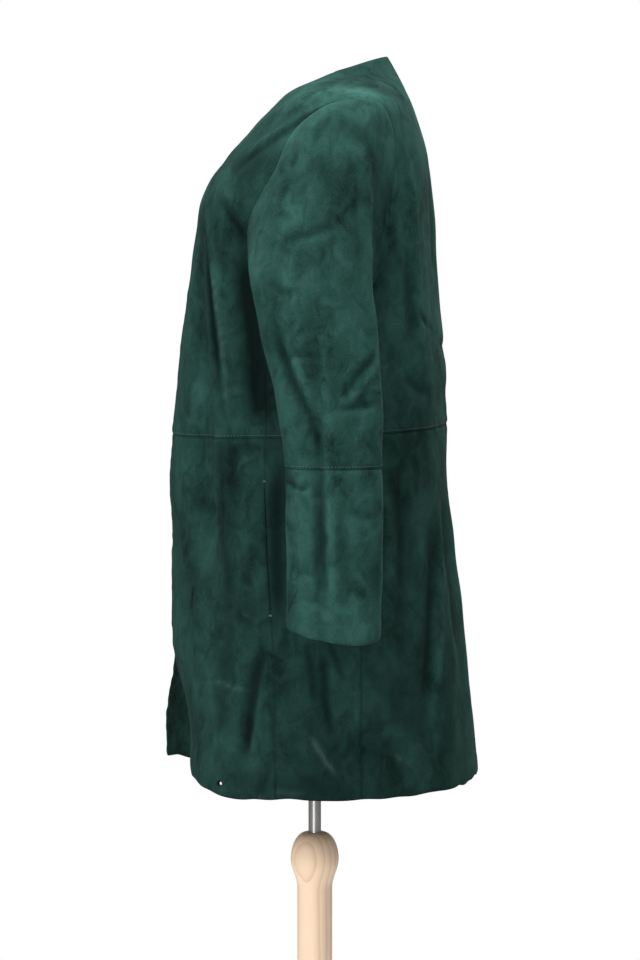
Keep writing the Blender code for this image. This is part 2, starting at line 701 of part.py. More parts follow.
def quarter_round(start, end, steps):
    """Points of a quarter of an ellipse that leaves its start level and reaches its end upright."""
    turns = np.linspace(0, np.pi / 2, steps + 1)
    radius = start[0] + (end[0] - start[0]) * np.sin(turns)
    height = end[1] + (start[1] - end[1]) * np.cos(turns)
    return list(zip(radius, height))


def soft_bend(start, end, steps):
    """Points between two radii that leave and reach them upright."""
    shares = np.linspace(0, 1, steps + 1)
    radius = start[0] + (end[0] - start[0]) * ease(shares)
    height = start[1] + (end[1] - start[1]) * shares
    return list(zip(radius, height))


def stand_post(collection, finish):
    """Turned post with a bulged head, bored for the rod."""
    bore = ROD_RADIUS + FIT_GAP
    bore_floor = POST_TOP - ROD_IN_POST
    foot = BASE_HEIGHT + FIT_GAP
    profile = [(0.0, bore_floor), (bore, bore_floor), (bore, POST_TOP)]
    profile += quarter_round((POST_RIM_RADIUS, POST_TOP), POST_BULGE, ARC_STEPS)
    profile += soft_bend(POST_BULGE, POST_NECK, ARC_STEPS)[1:]
    profile += [(POST_NECK[0], foot), (0.0, foot)]
    turned("stand_post", profile, POST_SIDES, collection, finish)


def stand_base(collection, finish):
    """Round base with a rounded upper edge and a flat underside."""
    profile = [(0.0, BASE_HEIGHT)]
    profile += quarter_round((BASE_RADIUS - BASE_ROUND, BASE_HEIGHT), (BASE_RADIUS, BASE_HEIGHT - BASE_ROUND),
                             ARC_STEPS)
    profile += [(BASE_RADIUS, 0.0), (0.0, 0.0)]
    turned("stand_base", profile, BASE_SIDES, collection, finish)


def finish_named(name):
    """A material from the table of finishes."""
    colour, roughness, metallic = FINISHES[name]
    material = bpy.data.materials.new(name)
    material.use_nodes = True
    shader = material.node_tree.nodes["Principled BSDF"]
    shader.inputs["Base Color"].default_value = (*colour, 1.0)
    shader.inputs["Roughness"].default_value = roughness
    shader.inputs["Metallic"].default_value = metallic
    return material


def new_collection(name):
    collection = bpy.data.collections.new(name)
    bpy.context.scene.collection.children.link(collection)
    return collection


def build():
    """Clear the scene and model the coat and its stand."""
    for leftover in list(bpy.data.objects):
        bpy.data.objects.remove(leftover)
    parts = new_collection(OBJECT_NAME)
    cutters = new_collection("cutters")
    suede = finish_named("suede")
    pine = finish_named("pine")
    for side, word in ((1, "left"), (-1, "right")):
        for places_of in (front_upper, side_upper, front_lower, side_lower):
            panel = coat_panel(f"coat_{places_of.__name__}_{word}", places_of, side, parts, suede)
            if places_of is front_lower and side == 1:
                cut_hole(panel, cutters)
        for places_of in (sleeve_upper, sleeve_lower):
            sleeve_panel(f"{places_of.__name__}_{word}", places_of, side, parts, suede)
    for places_of in (back_upper, back_lower):
        coat_panel(f"coat_{places_of.__name__}", places_of, 1, parts, suede)
    dress_form(parts, cutters, finish_named("jersey"))
    stand_rod(parts, finish_named("steel"))
    stand_post(parts, pine)
    stand_base(parts, pine)


build()
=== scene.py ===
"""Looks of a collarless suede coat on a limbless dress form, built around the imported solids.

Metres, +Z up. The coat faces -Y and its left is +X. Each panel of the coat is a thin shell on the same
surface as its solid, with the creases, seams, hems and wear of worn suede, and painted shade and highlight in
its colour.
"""

import math
from collections import namedtuple

import bpy
import numpy as np
from bpy.props import FloatProperty, FloatVectorProperty, PointerProperty
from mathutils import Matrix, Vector


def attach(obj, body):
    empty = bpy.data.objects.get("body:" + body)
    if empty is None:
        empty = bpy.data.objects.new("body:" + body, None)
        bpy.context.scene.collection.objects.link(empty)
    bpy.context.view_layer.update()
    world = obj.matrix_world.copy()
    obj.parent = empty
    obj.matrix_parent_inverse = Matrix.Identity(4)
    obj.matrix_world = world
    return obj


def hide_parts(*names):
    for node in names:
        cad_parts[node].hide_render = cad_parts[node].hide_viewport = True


bl_info = {
    "name": "Suede coat on a dress form",
    "version": (1, 0, 0),
    "blender": (4, 5, 0),
    "location": "3D View > Sidebar > Coat",
    "description": "Builds a suede coat, its sewing, the dress form with its stand, and a plain studio",
    "category": "Object",
}

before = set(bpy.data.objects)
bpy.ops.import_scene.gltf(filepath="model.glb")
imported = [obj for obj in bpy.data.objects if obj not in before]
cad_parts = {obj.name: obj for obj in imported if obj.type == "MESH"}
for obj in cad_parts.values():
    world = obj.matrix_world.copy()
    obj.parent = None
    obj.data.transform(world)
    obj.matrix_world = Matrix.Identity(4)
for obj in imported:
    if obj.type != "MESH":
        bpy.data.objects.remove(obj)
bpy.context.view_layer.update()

# Body of the coat: one row a section, from the hem to the nape. Reaches are signed places along Y.
Section = namedtuple("Section", "height half_width centre front back front_power back_power")
BODY_SECTIONS = (
    Section(0.600, 0.228, 0.010, -0.173, 0.196, 2.0, 2.0),
    Section(0.700, 0.215, 0.009, -0.171, 0.186, 2.0, 2.0),
    Section(0.820, 0.203, 0.006, -0.169, 0.173, 2.0, 2.1),
    Section(0.900, 0.194, 0.003, -0.168, 0.162, 2.0, 2.2),
    Section(0.975, 0.186, 0.000, -0.170, 0.155, 2.0, 2.3),
    Section(1.040, 0.182, 0.000, -0.166, 0.155, 2.0, 2.3),
    Section(1.120, 0.185, 0.001, -0.158, 0.153, 2.1, 2.4),
    Section(1.180, 0.190, 0.003, -0.150, 0.147, 2.2, 2.4),
    Section(1.240, 0.194, 0.006, -0.141, 0.142, 2.4, 2.5),
    Section(1.300, 0.197, 0.012, -0.132, 0.138, 2.6, 2.5),
    Section(1.345, 0.199, 0.022, -0.104, 0.132, 2.6, 2.5),
    Section(1.378, 0.200, 0.030, -0.075, 0.123, 2.4, 2.5),
    Section(1.405, 0.197, 0.030, -0.049, 0.115, 2.3, 2.3),
    Section(1.424, 0.143, 0.027, -0.030, 0.107, 2.2, 2.2),
    Section(1.442, 0.084, 0.028, 0.006, 0.097, 2.1, 2.1),
    Section(1.466, 0.062, 0.030, 0.010, 0.084, 2.0, 2.0),
)

# Largest folds of the body: side 1 is left and -1 is right, angles run from the front edge round to the back
Fold = namedtuple("Fold", "side top bottom angle_top angle_middle angle_bottom spread depth")
FOLD_FADE = 0.35
BODY_FOLDS = (
    Fold(1, 0.80, 0.44, 6, 6, 6, 28, -0.026),
    Fold(-1, 0.77, 0.45, 14, 14, 14, 20, 0.017),
    Fold(1, 1.33, 0.78, 36, 52, 56, 5, 0.007),
    Fold(1, 1.33, 0.78, 26, 42, 46, 8, -0.011),
    Fold(-1, 1.33, 0.82, 35, 49, 54, 5, 0.006),
    Fold(-1, 1.33, 0.80, 26, 39, 45, 8, -0.009),
    Fold(1, 1.30, 0.93, 60, 66, 70, 8, -0.015),
    Fold(-1, 1.30, 0.95, 61, 66, 69, 8, -0.013),
    Fold(1, 0.87, 0.55, 76, 66, 57, 6, -0.007),
    Fold(-1, 0.84, 0.50, 70, 62, 56, 7, -0.008),
    Fold(1, 1.42, 0.98, 117, 131, 136, 7, 0.005),
    Fold(-1, 1.42, 0.96, 118, 129, 133, 7, 0.005),
    Fold(1, 1.02, 0.50, 147, 141, 126, 8, 0.006),
    Fold(-1, 0.99, 0.48, 144, 138, 128, 9, 0.007),
)

# Edges and seams of the body, as heights by angle or as distances from the middle by height
HemPoint = namedtuple("HemPoint", "angle left right")
HEM = (
    HemPoint(0, 0.653, 0.646),
    HemPoint(28, 0.640, 0.624),
    HemPoint(42, 0.634, 0.614),
    HemPoint(58, 0.627, 0.617),
    HemPoint(90, 0.632, 0.632),
    HemPoint(135, 0.629, 0.629),
    HemPoint(180, 0.626, 0.626),
)
WAIST_FRONT_HEIGHT = 1.027
WAIST_BACK_HEIGHT = 1.040
FrontEdge = namedtuple("FrontEdge", "height left right")
FRONT_EDGES = (
    FrontEdge(0.600, 0.036, 0.076),
    FrontEdge(0.760, 0.016, 0.030),
    FrontEdge(0.890, 0.006, 0.008),
    FrontEdge(1.040, 0.004, 0.004),
    FrontEdge(1.200, 0.004, 0.004),
    FrontEdge(1.295, 0.005, 0.004),
    FrontEdge(1.350, 0.036, 0.028),
    FrontEdge(1.395, 0.058, 0.046),
    FrontEdge(1.426, 0.071, 0.062),
    FrontEdge(1.442, 0.081, 0.080),
)
FRONT_SEAM_ANGLE = {"hem": 76.0, "waist": 71.0}
BACK_SEAM_ANGLE = {"hem": 101.0, "waist": 107.0}
NAPE_HEIGHT = 1.465
NECK_RISE_POWER = 0.75
POCKET_HEIGHTS = (0.835, 0.982)
POCKET_MOUTH = 0.0008
HOLE_ANGLE = 55.0
HOLE_HEIGHT = 0.6405
HOLE_DIAMETER = 0.0045

# Armhole as seen from the side, by turns of 0 at its top, 90 in front, -90 behind and 180 under the arm
ARMHOLE_MIDDLE = (0.003, 1.262)
ARMHOLE_HALF_DEPTH = 0.079
ARMHOLE_REACH_UP = 0.145
ARMHOLE_REACH_DOWN = 0.085
ARMHOLE_LEAN = 0.046
ARMHOLE_LEAN_POWER = 1.5
ARMHOLE_POWER_UP = 2.3
ARMHOLE_POWER_DOWN = 2.5
ARMHOLE_SCOOP = 0.012
ARMHOLE_SCOOP_TURN = 66.0
ARMHOLE_SCOOP_SPREAD = 16.0
SHOULDER_TURN = 30
FRONT_SEAM_TURN = 135
BACK_SEAM_TURN = -135

# Sleeve: one row a ring, from below the armhole to below the cuff. Across is the distance from the middle.
Ring = namedtuple("Ring", "height across fore half_depth half_width")
SLEEVE_RINGS = (
    Ring(1.165, 0.2290, 0.0030, 0.0655, 0.0320),
    Ring(1.085, 0.2345, 0.0150, 0.0585, 0.0320),
    Ring(1.004, 0.2410, 0.0210, 0.0540, 0.0310),
    Ring(0.910, 0.2490, 0.0215, 0.0530, 0.0305),
    Ring(0.790, 0.2580, 0.0215, 0.0510, 0.0300),
)
SLEEVE_POWER = 2.2
SLEEVE_TWIST = 30.0
ELBOW_LEVEL = 2.0
CUFF_HEIGHT = 0.822
CUFF_DIP = 0.008
CUFF_FRONT_RISE = 0.012
SLEEVE_FOLDS = (
    Fold(1, 1.19, 0.98, 52, 38, 25, 10, -0.004),
    Fold(1, 1.03, 0.70, 20, 15, 13, 8, -0.003),
    Fold(1, 1.00, 0.72, 0, 1, 2, 7, 0.002),
    Fold(1, 1.16, 1.00, -70, -40, -15, 10, -0.003),
)
CAP_RISE = (0.050, 0.014)
CAP_FALL = (0.110, 0.016)
CAP_SLOPE = (0.25, 1.10)
CAP_BACK_TUCK = (0.030, -0.040, 0.0)
CAP_BACK_LIFT = 0.09

# Dress form, from its flat underside to the flat top of its neck
FORM_SECTIONS = (
    Section(0.800, 0.140, 0.012, -0.080, 0.105, 2.0, 2.2),
    Section(0.870, 0.160, 0.012, -0.095, 0.122, 2.0, 2.2),
    Section(0.950, 0.150, 0.010, -0.095, 0.112, 2.0, 2.2),
    Section(1.050, 0.120, 0.006, -0.085, 0.088, 2.0, 2.2),
    Section(1.150, 0.130, 0.006, -0.095, 0.105, 2.0, 2.2),
    Section(1.235, 0.150, 0.008, -0.112, 0.122, 2.2, 2.3),
    Section(1.290, 0.160, 0.012, -0.119, 0.124, 2.4, 2.4),
    Section(1.335, 0.170, 0.022, -0.098, 0.120, 2.4, 2.4),
    Section(1.365, 0.176, 0.030, -0.074, 0.110, 2.3, 2.4),
    Section(1.388, 0.172, 0.030, -0.050, 0.102, 2.2, 2.3),
    Section(1.405, 0.128, 0.030, -0.028, 0.094, 2.1, 2.2),
    Section(1.418, 0.075, 0.032, -0.010, 0.084, 2.0, 2.0),
    Section(1.432, 0.056, 0.034, -0.006, 0.076, 2.0, 2.0),
)

# Stand
FIT_GAP = 0.0003
ROD_RADIUS = 0.0075
ROD_IN_FORM = 0.060
ROD_IN_POST = 0.060
POST_TOP = 0.550
POST_RIM_RADIUS = 0.0105
POST_BULGE = (0.0286, 0.518)
POST_NECK = (0.0208, 0.484)
BASE_RADIUS = 0.180
BASE_HEIGHT = 0.028
BASE_ROUND = 0.008

# Ridges that are also painted pale, as lines seen from the side in millimetres (along Y, height): rubbed
# suede with a painted highlight along each ridge
SHOULDER_LINE = ((17, 1407), (5, 1397), (-14, 1388), (-31, 1381), (-54, 1368), (-82, 1347))
FRONT_FOLD_LINE = ((-126, 1297), (-119, 1232), (-112, 1189), (-104, 1136), (-101, 1102), (-97, 1046))
BACK_FOLD_LINE = ((102, 1362), (109, 1337), (113, 1306), (116, 1268), (118, 1230), (121, 1169), (124, 1099))
SLEEVE_BACK_LINE = ((38, 1356), (51, 1346), (59, 1333), (60, 1303), (63, 1276), (65, 1242), (68, 1186))
SLEEVE_LOW_BACK_LINE = ((68, 1186), (69, 1155), (71, 1090), (74, 1045), (74, 902), (73, 844))

# Smaller creases, as lines seen from the side in millimetres. A positive depth is a ridge.
Crease = namedtuple("Crease", "spread depth line")
BODY_CREASES = (
    Crease(6, 1.6, SHOULDER_LINE),
    Crease(7, -1.4, ((12, 1396), (-6, 1387), (-22, 1377), (-42, 1367), (-66, 1352), (-92, 1330))),
    Crease(6, -2.2, ((-112, 1300), (-104, 1289), (-96, 1276), (-81, 1260), (-76, 1251))),
    Crease(5, 1.6, FRONT_FOLD_LINE),
    Crease(7, -2.0, ((-133, 1290), (-127, 1232), (-121, 1189), (-114, 1136), (-111, 1102), (-108, 1046))),
    Crease(6, 1.2, ((-98, 1030), (-98, 999), (-96, 915), (-95, 880))),
    Crease(8, -1.5, ((-108, 1030), (-108, 999), (-107, 915), (-106, 870))),
    Crease(5, 1.8, BACK_FOLD_LINE),
    Crease(7, -1.5, ((95, 1330), (101, 1290), (106, 1240), (109, 1180), (112, 1110))),
    Crease(4, -1.8, ((118, 1171), (121, 1167), (129, 1158), (140, 1148))),
    Crease(8, -2.0, ((-54, 812), (-56, 798), (-67, 763), (-72, 734), (-79, 687), (-89, 662))),
    Crease(6, 1.4, ((-45, 790), (-56, 757), (-61, 728), (-68, 684), (-78, 660))),
    Crease(4, -1.3, ((-32, 830), (-32, 810), (-31, 786))),
    Crease(4, -1.3, ((-6, 806), (-5, 792), (0, 747), (2, 735))),
    Crease(5, -1.5, ((9, 800), (11, 782), (18, 715), (20, 700))),
    Crease(4, -1.2, ((20, 806), (22, 798), (33, 770), (38, 758))),
    Crease(6, 1.8, ((151, 959), (147, 860), (144, 814), (141, 761), (136, 727), (134, 648))),
    Crease(8, -1.6, ((139, 940), (135, 860), (132, 814), (128, 761), (123, 700))),
    Crease(9, -1.8, ((88, 1000), (96, 960), (100, 900), (98, 840))),
    Crease(8, 1.3, ((76, 990), (82, 930), (84, 860), (80, 800))),
    Crease(6, -1.4, ((104, 1098), (118, 1084), (136, 1078))),
    Crease(7, -1.5, ((-140, 960), (-122, 948), (-100, 952))),
    Crease(6, -1.3, ((-60, 1130), (-66, 1090), (-66, 1045))),
)
SLEEVE_CREASES = (
    Crease(6, 1.5, ((10, 1197), (8, 1134), (13, 1090), (16, 1004), (17, 927), (19, 856), (19, 824))),
    Crease(6, -1.8, ((-1, 1190), (-3, 1134), (2, 1090), (5, 1010), (6, 927), (8, 860), (9, 826))),
    Crease(6, -2.4, ((-46, 1165), (-40, 1144), (-26, 1103), (-7, 1065), (9, 1017))),
    Crease(5, 1.3, ((-36, 1160), (-29, 1138), (-15, 1100), (3, 1066), (16, 1030))),
    Crease(4, -1.6, ((-18, 1124), (-15, 1117), (-5, 1099), (-2, 1092))),
    Crease(5, -1.5, ((73, 1134), (70, 1126), (52, 1108), (30, 1081), (24, 1070))),
    Crease(5, 0.9, ((72, 1116), (56, 1096), (38, 1072))),
    Crease(4, -1.2, ((-24, 1126), (-20, 1126), (2, 1126), (8, 1127))),
    Crease(4, -1.3, ((24, 1068), (29, 1069), (73, 1073))),
    Crease(5, -1.5, ((-42, 1246), (-33, 1250), (8, 1260), (16, 1264))),
    Crease(4, -2.4, ((-33, 994), (-25, 986), (-15, 983), (-6, 984))),
    Crease(6, 1.8, SLEEVE_BACK_LINE),
    Crease(5, 1.4, SLEEVE_LOW_BACK_LINE),
    Crease(7, -1.4, ((26, 1350), (42, 1330), (48, 1290), (51, 1240), (54, 1190))),
    Crease(3, -1.5, ((2, 1393), (2, 1380), (1, 1361), (1, 1356))),
    Crease(7, -1.5, ((30, 990), (33, 940), (36, 890), (40, 840))),
    Crease(5, -1.1, ((40, 960), (56, 950), (70, 952))),
    Crease(5, -1.2, ((-30, 900), (-16, 890), (0, 894))),
    Crease(6, -1.4, ((-50, 1210), (-40, 1196), (-22, 1190))),
)
# Creases of the middle of the back, as lines seen from behind in millimetres (along X, height)
BACK_CREASES = (
    Crease(16, 2.4, ((-62, 1020), (-66, 900), (-74, 780), (-82, 650))),
    Crease(14, -2.2, ((-30, 1010), (-34, 890), (-36, 770), (-42, 640))),
    Crease(15, 2.0, ((44, 1000), (50, 880), (54, 760), (64, 645))),
    Crease(13, -2.0, ((80, 980), (88, 870), (96, 760))),
    Crease(10, -2.0, ((-96, 1096), (-50, 1078), (0, 1072), (48, 1080))),
    Crease(9, -1.6, ((-20, 1140), (36, 1126), (92, 1136))),
    Crease(12, -1.6, ((-70, 1320), (-76, 1260), (-70, 1190))),
    Crease(12, -1.5, ((72, 1330), (80, 1270), (78, 1200))),
    Crease(9, 1.2, ((-110, 1112), (-60, 1096), (-8, 1090))),
)
RIGHT_SHIFT_MM = (5, -11)
RIGHT_DEPTH = 0.85

# Pale marks on the left of the body, as lines seen from the side in millimetres: rubbed suede near the hem,
# and along the ridges rubbed suede with a painted highlight
Mark = namedtuple("Mark", "spread strength line")
LEFT_MARKS = (
    Mark(2.4, 0.58, ((-147, 742), (-126, 752), (-106, 755), (-92, 750), (-75, 749))),
    Mark(2.4, 0.42, ((-5, 704), (7, 683), (25, 658))),
    Mark(2.4, 0.40, ((87, 681), (100, 671), (114, 659))),
    Mark(2.2, 0.5, ((-108, 636), (-102, 635))),
    Mark(2.2, 0.5, ((-90, 636), (-84, 637))),
    Mark(2.2, 0.5, ((-77, 638), (-71, 638))),
    Mark(3.0, 0.5, ((-66, 633), (-58, 632))),
    Mark(3.0, 0.2, ((-50, 640), (-30, 638), (-8, 640))),
    Mark(3.0, 0.15, ((-146, 905), (-144, 880))),
    Mark(2.4, 0.30, SHOULDER_LINE),
    Mark(2.4, 0.22, FRONT_FOLD_LINE),
    Mark(2.4, 0.26, BACK_FOLD_LINE),
)
# Pale marks along the ridges of the sleeve: rubbed suede with a painted highlight
SLEEVE_MARKS = (
    Mark(2.4, 0.26, SLEEVE_BACK_LINE),
    Mark(2.4, 0.24, SLEEVE_LOW_BACK_LINE),
)

# Broad light and dark areas painted into the suede, seen from the side in millimetres. A negative strength is
# dark. A few are nap tone; most are painted shade in folds and hollows, beside the pocket and the sleeve,
# under the neckline, over the chest and along the hem, and painted highlight on the shoulder top and the
# upper back.
BODY_NAP_AND_PAINTED_LIGHT = (
    # painted shade in the trough beside the front fold
    Mark(7, -0.65, ((-137, 1285), (-129, 1232), (-121, 1189), (-113, 1136), (-109, 1095))),
    Mark(28, -0.60, ((-104, 1322), (-76, 1346), (-48, 1330))),
    Mark(14, 0.60, ((92, 1350), (100, 1290), (105, 1225))),
    Mark(18, 0.30, ((-142, 1100), (-140, 1030))),
    # painted shade in the hollow before the sleeve
    Mark(15, -1.05, ((-84, 1254), (-72, 1173), (-64, 1102), (-55, 1030))),
    Mark(5, -0.35, ((-100, 1288), (-88, 1266), (-78, 1245))),
    # painted highlight on the top of the shoulder
    Mark(20, 0.80, ((-24, 1416), (18, 1422), (52, 1420), (84, 1398))),
    # painted shadow along the inside of the neckline
    Mark(2.4, -0.45, ((-96, 1375), (-75, 1394), (-46, 1414), (-17, 1426))),
    Mark(8, 0.20, ((122, 1290), (128, 1241), (143, 1060))),
    Mark(9, -0.52, ((-98, 1036), (-98, 930), (-97, 820))),
    Mark(10, 0.15, ((-74, 1030), (-74, 930), (-74, 830))),
    Mark(13, 0.14, ((-130, 1020), (-128, 900), (-126, 780))),
    # painted shadow between the pocket and the sleeve
    Mark(12, -0.60, ((-42, 1024), (-43, 985), (-43, 890), (-40, 810))),
    Mark(8, -0.22, ((-150, 1020), (-60, 1020))),
    Mark(15, -0.42, ((-103, 810), (-104, 740), (-106, 680))),
    Mark(14, -0.32, ((-66, 725), (-72, 665))),
    Mark(16, -0.30, ((95, 775), (95, 700))),
    Mark(8, -0.22, ((-52, 820), (-67, 763), (-79, 687), (-90, 655))),
    Mark(9, -0.25, ((134, 960), (132, 850), (126, 720))),
    Mark(14, -0.20, ((0, 800), (6, 740), (14, 680))),
    # painted shade along the hem
    Mark(22, -0.36, ((-110, 650), (-60, 642), (0, 640), (60, 640))),
)
# Painted light on the right front only, which is seen past the edge of the left one: it lightens the part
# that lies in the left front's shadow.
RIGHT_PAINTED_LIGHT = (
    Mark(30, 0.50, ((-160, 770), (-165, 640))),
)
# Light and dark areas of the sleeves: partly nap tone, partly painted shade in the sleeve head, along creases
# and in hollows, with painted light on the lit parts
SLEEVE_NAP_AND_PAINTED_LIGHT = (
    Mark(17, -0.55, ((-8, 1380), (39, 1375), (64, 1352))),
    Mark(20, -0.33, ((0, 1345), (20, 1310), (30, 1270))),
    Mark(2.4, -0.55, ((2, 1396), (2, 1376), (1, 1354))),
    Mark(5, -0.40, ((-46, 1168), (-28, 1103), (-8, 1065), (10, 1015))),
    Mark(4, -0.12, ((73, 1136), (52, 1108), (28, 1076))),
    Mark(5, -0.40, ((72, 1320), (72, 1252), (76, 1150), (76, 1090))),
    Mark(6, -0.50, ((8, 1010), (8, 940), (10, 856))),
    Mark(5, 0.20, ((20, 1004), (20, 920), (22, 826))),
    Mark(9, -0.26, ((34, 1074), (38, 1046))),
    Mark(10, 0.22, ((-6, 1098), (2, 1046))),
    Mark(12, 0.15, ((-18, 975), (-17, 900), (-14, 835))),
    Mark(6, -0.28, ((70, 1002), (71, 920), (69, 845))),
    Mark(9, -0.22, ((-36, 1330), (-24, 1310), (-4, 1304))),
    Mark(12, 0.16, ((-30, 1240), (-22, 1180), (-14, 1120))),
)

# Tone of each panel: partly the hide's own shade, partly painted shade, darker on the lower and side panels
# where less light reaches them
PANEL_TONES = {
    "front_upper": 0.82,
    "side_upper": 0.70,
    "back_upper": 0.84,
    "front_lower": 0.76,
    "side_lower": 0.68,
    "back_lower": 0.60,
    "sleeve_upper": 1.10,
    "sleeve_lower": 1.16,
}

# Cloth grids and sewing
EDGE_STEPS = (0.0, 0.0007, 0.0015, 0.0026, 0.0044)
DENSE = 90
SEAM_GAP = 0.0001
HEM_TURN = 0.018
HEM_STEP = 0.0005
ALLOWANCE = 0.009
ALLOWANCE_STEP = 0.0004
SOFT_STEP = 0.004
STITCH_FROM_SEAM = 0.0026
TACK_LENGTH = 0.0045
TACK_STITCHES = 3
TACK_PITCH = 0.0007
HEM_WAVE_HEIGHT = 0.001
HEM_WAVE_LENGTHS = (0.030, 0.120)
HEM_WAVE_REACH = 0.025
WAVE_COUNT = 28
WAVE_HEIGHT = 0.00055
WAVE_LENGTHS = (0.035, 0.140)
PUCKER_HEIGHT = 0.0004
PUCKER_LENGTHS = (0.010, 0.026)
PUCKER_REACH = 0.010
CREASE_GAIN = 2.1
# Painted shade in the creases and painted highlight on the ridges: the colour darkens with a crease's depth
# and lightens with a ridge's height, up to a limit
CREASE_PAINTED_SHADE = 110.0
CREASE_PAINTED_SHADE_LIMIT = 0.004
EDGE_SHADE = 0.22
EDGE_SHADE_REACH = 0.0016
SOFT_EDGES_ABOVE = 1.185
SOFT_EDGES_OVER = 0.030
SOFT_EDGE_SHARE = 0.35
CREASE_STEP = 0.003
SAMPLES_A_ROW = 100
SECTION_SAMPLES = 361
LEVEL_STEP = 0.002
SHARP_ANGLE = 50.0
BACK_SIDE_POWER = 3
GIRTH_SHARE = 0.8
POCKET_END = 0.012
POCKET_REACH = 0.004
PATH_REACH = 3
PATH_END_STRENGTH = 0.15
PATH_END_SHARE = 0.25
CLOUD_REACH = 0.005
CLOUD_SLACK = 0.002
CLOUD_COUNTS = (181, 301)
SEED_SWELL = 11
SEED_PUCKER = 23
SEED_HEM = 31
STITCH_WIDTH = 0.00062
STITCH_HEIGHT = 0.00050
TACK_COLUMN = -6
PUNCH_SIDES = 14
PUNCH_LENGTH = 0.03
TINY = 1e-12

# Rounding of the form and the stand
FORM_SIDES = 96
FORM_CUTS = 71
FORM_RIM = 0.004
FORM_RIM_STEPS = 3
ROD_SIDES = 48
POST_SIDES = 72
POST_STEPS = 20
POST_SHAFT_STEPS = 16
BASE_SIDES = 128
BASE_STEPS = 8
CHAMFER = 0.0008
STAND_SHARP_ANGLE = 35.0

# Camera, read from the perspective of the hem and the cuff
CAMERA_PLACE = (3.3, 0.00625, 1.237)
CAMERA_FOCAL_PIXELS = 2807.0
CAMERA_LEVEL_ROW = 253.6
IMAGE_HEIGHT = 960
SENSOR_HEIGHT = 36.0

# Studio. A light's setting is the name of its power.
FLOOR_RADIUS = 1.45
FLOOR_SIDES = 96
LIGHT_AIM_HEIGHT = 1.1
Light = namedtuple("Light", "name place size setting")
LIGHTS = (
    Light("key_light", (1.7, -2.1, 2.3), 0.9, "key"),
    Light("fill_light", (3.2, 0.4, 2.0), 1.2, "fill"),
    Light("top_light", (0.6, 0.2, 3.2), 1.0, "top"),
    Light("low_light", (1.7, -0.5, 0.36), 0.5, "low"),
    Light("back_light", (-2.4, 1.8, 2.4), 2.0, "back"),
)


def colour_setting(name, description, default):
    """A colour that the panel shows."""
    return FloatVectorProperty(name=name, description=description, subtype="COLOR", size=3, default=default,
                               min=0.0, max=1.0)


def length_setting(name, description, default, low, high):
    """A length that the panel shows."""
    return FloatProperty(name=name, description=description, default=default, min=low, max=high,
                         unit="LENGTH")


def power_setting(name, description, default):
    """The power of a light that the panel shows."""
    return FloatProperty(name=name, description=description, default=default, min=0.0, unit="POWER")


class CoatSettings(bpy.types.PropertyGroup):
    """Sizes and colours of the coat."""

    wall: length_setting("Suede thickness", "Thickness of the suede", 0.002, 0.001, 0.003)
    spacing: length_setting("Grid spacing", "Distance between points of the cloth", 0.0030, 0.002, 0.02)
    seam_depth: length_setting("Seam depth", "How far the edges roll in at a seam", 0.0008, 0.0, 0.003)
    seam_width: length_setting("Seam width", "Width of the roll beside a seam", 0.0024, 0.0005, 0.01)
    stitch_length: length_setting("Stitch length", "Length of one stitch", 0.0021, 0.001, 0.006)
    stitch_pitch: length_setting("Stitch pitch", "Distance between stitches", 0.0038, 0.001, 0.008)
    # The nap's dark and light ends; the colour between them also carries painted shade and highlight
    dark: colour_setting("Dark nap", "Suede brushed against the light", (0.0022, 0.0085, 0.0072))
    light: colour_setting("Light nap", "Suede brushed with the light", (0.0275, 0.0900, 0.0750))
    # Pale colour of rubbed suede, also used as painted highlight along the ridges
    rubbed: colour_setting("Rubbed suede", "Pale rubbed marks", (0.110, 0.190, 0.158))
    thread: colour_setting("Thread", "Topstitching thread", (0.080, 0.150, 0.122))


class StandSettings(bpy.types.PropertyGroup):
    """Colours of the dress form and its stand."""

    jersey: colour_setting("Jersey", "Cover of the dress form", (0.62, 0.56, 0.47))
    pine: colour_setting("Pine", "Early wood of the post and base", (0.96, 0.73, 0.53))
    grain: colour_setting("Pine grain", "Late wood of the post and base", (0.72, 0.47, 0.27))
    steel: colour_setting("Steel", "Rod", (0.45, 0.44, 0.43))


class StageSettings(bpy.types.PropertyGroup):
    """Floor and light of the studio."""

    floor: colour_setting("Floor", "Colour of the floor", (0.85, 0.85, 0.85))
    key: power_setting("Key light", "Power of the light above the front", 52.0)
    fill: power_setting("Fill light", "Power of the light beside the camera", 15.0)
    top: power_setting("Top light", "Power of the light above the shoulders", 74.0)
    low: power_setting("Low light", "Power of the light beside the stand", 5.0)
    back: power_setting("Back light", "Power of the light behind the coat", 22.0)
    ambient: FloatProperty(name="Ambient", description="Strength of the light from all around", default=0.20,
                           min=0.0)


def between_rows(rows, level):
    """Columns of a table at fractional row numbers, on a smooth curve through the rows."""
    table = np.array(rows, dtype=float)
    level = np.asarray(level, dtype=float)
    first = np.clip(np.floor(level).astype(int), 0, len(rows) - 2)
    part = (level - first)[..., None]
    low = table[first]
    high = table[first + 1]
    before = table[np.maximum(first - 1, 0)]
    after = table[np.minimum(first + 2, len(rows) - 1)]
    bend = 2 * before - 5 * low + 4 * high - after
    twist = 3 * low - before - 3 * high + after
    columns = low + 0.5 * part * ((high - before) + part * (bend + part * twist))
    return type(rows[0])(*np.moveaxis(columns, -1, 0))


def column_by(rows, key, column, value):
    """A column of a table read where another, rising column has the given value."""
    levels = np.linspace(0, len(rows) - 1, SAMPLES_A_ROW * len(rows))
    smooth = between_rows(rows, levels)
    return np.interp(value, getattr(smooth, key), getattr(smooth, column))


def level_at(rows, height):
    """Fractional row number where a table of sections reaches a height."""
    levels = np.linspace(0, len(rows) - 1, SAMPLES_A_ROW * len(rows))
    return np.interp(height, between_rows(rows, levels).height, levels)


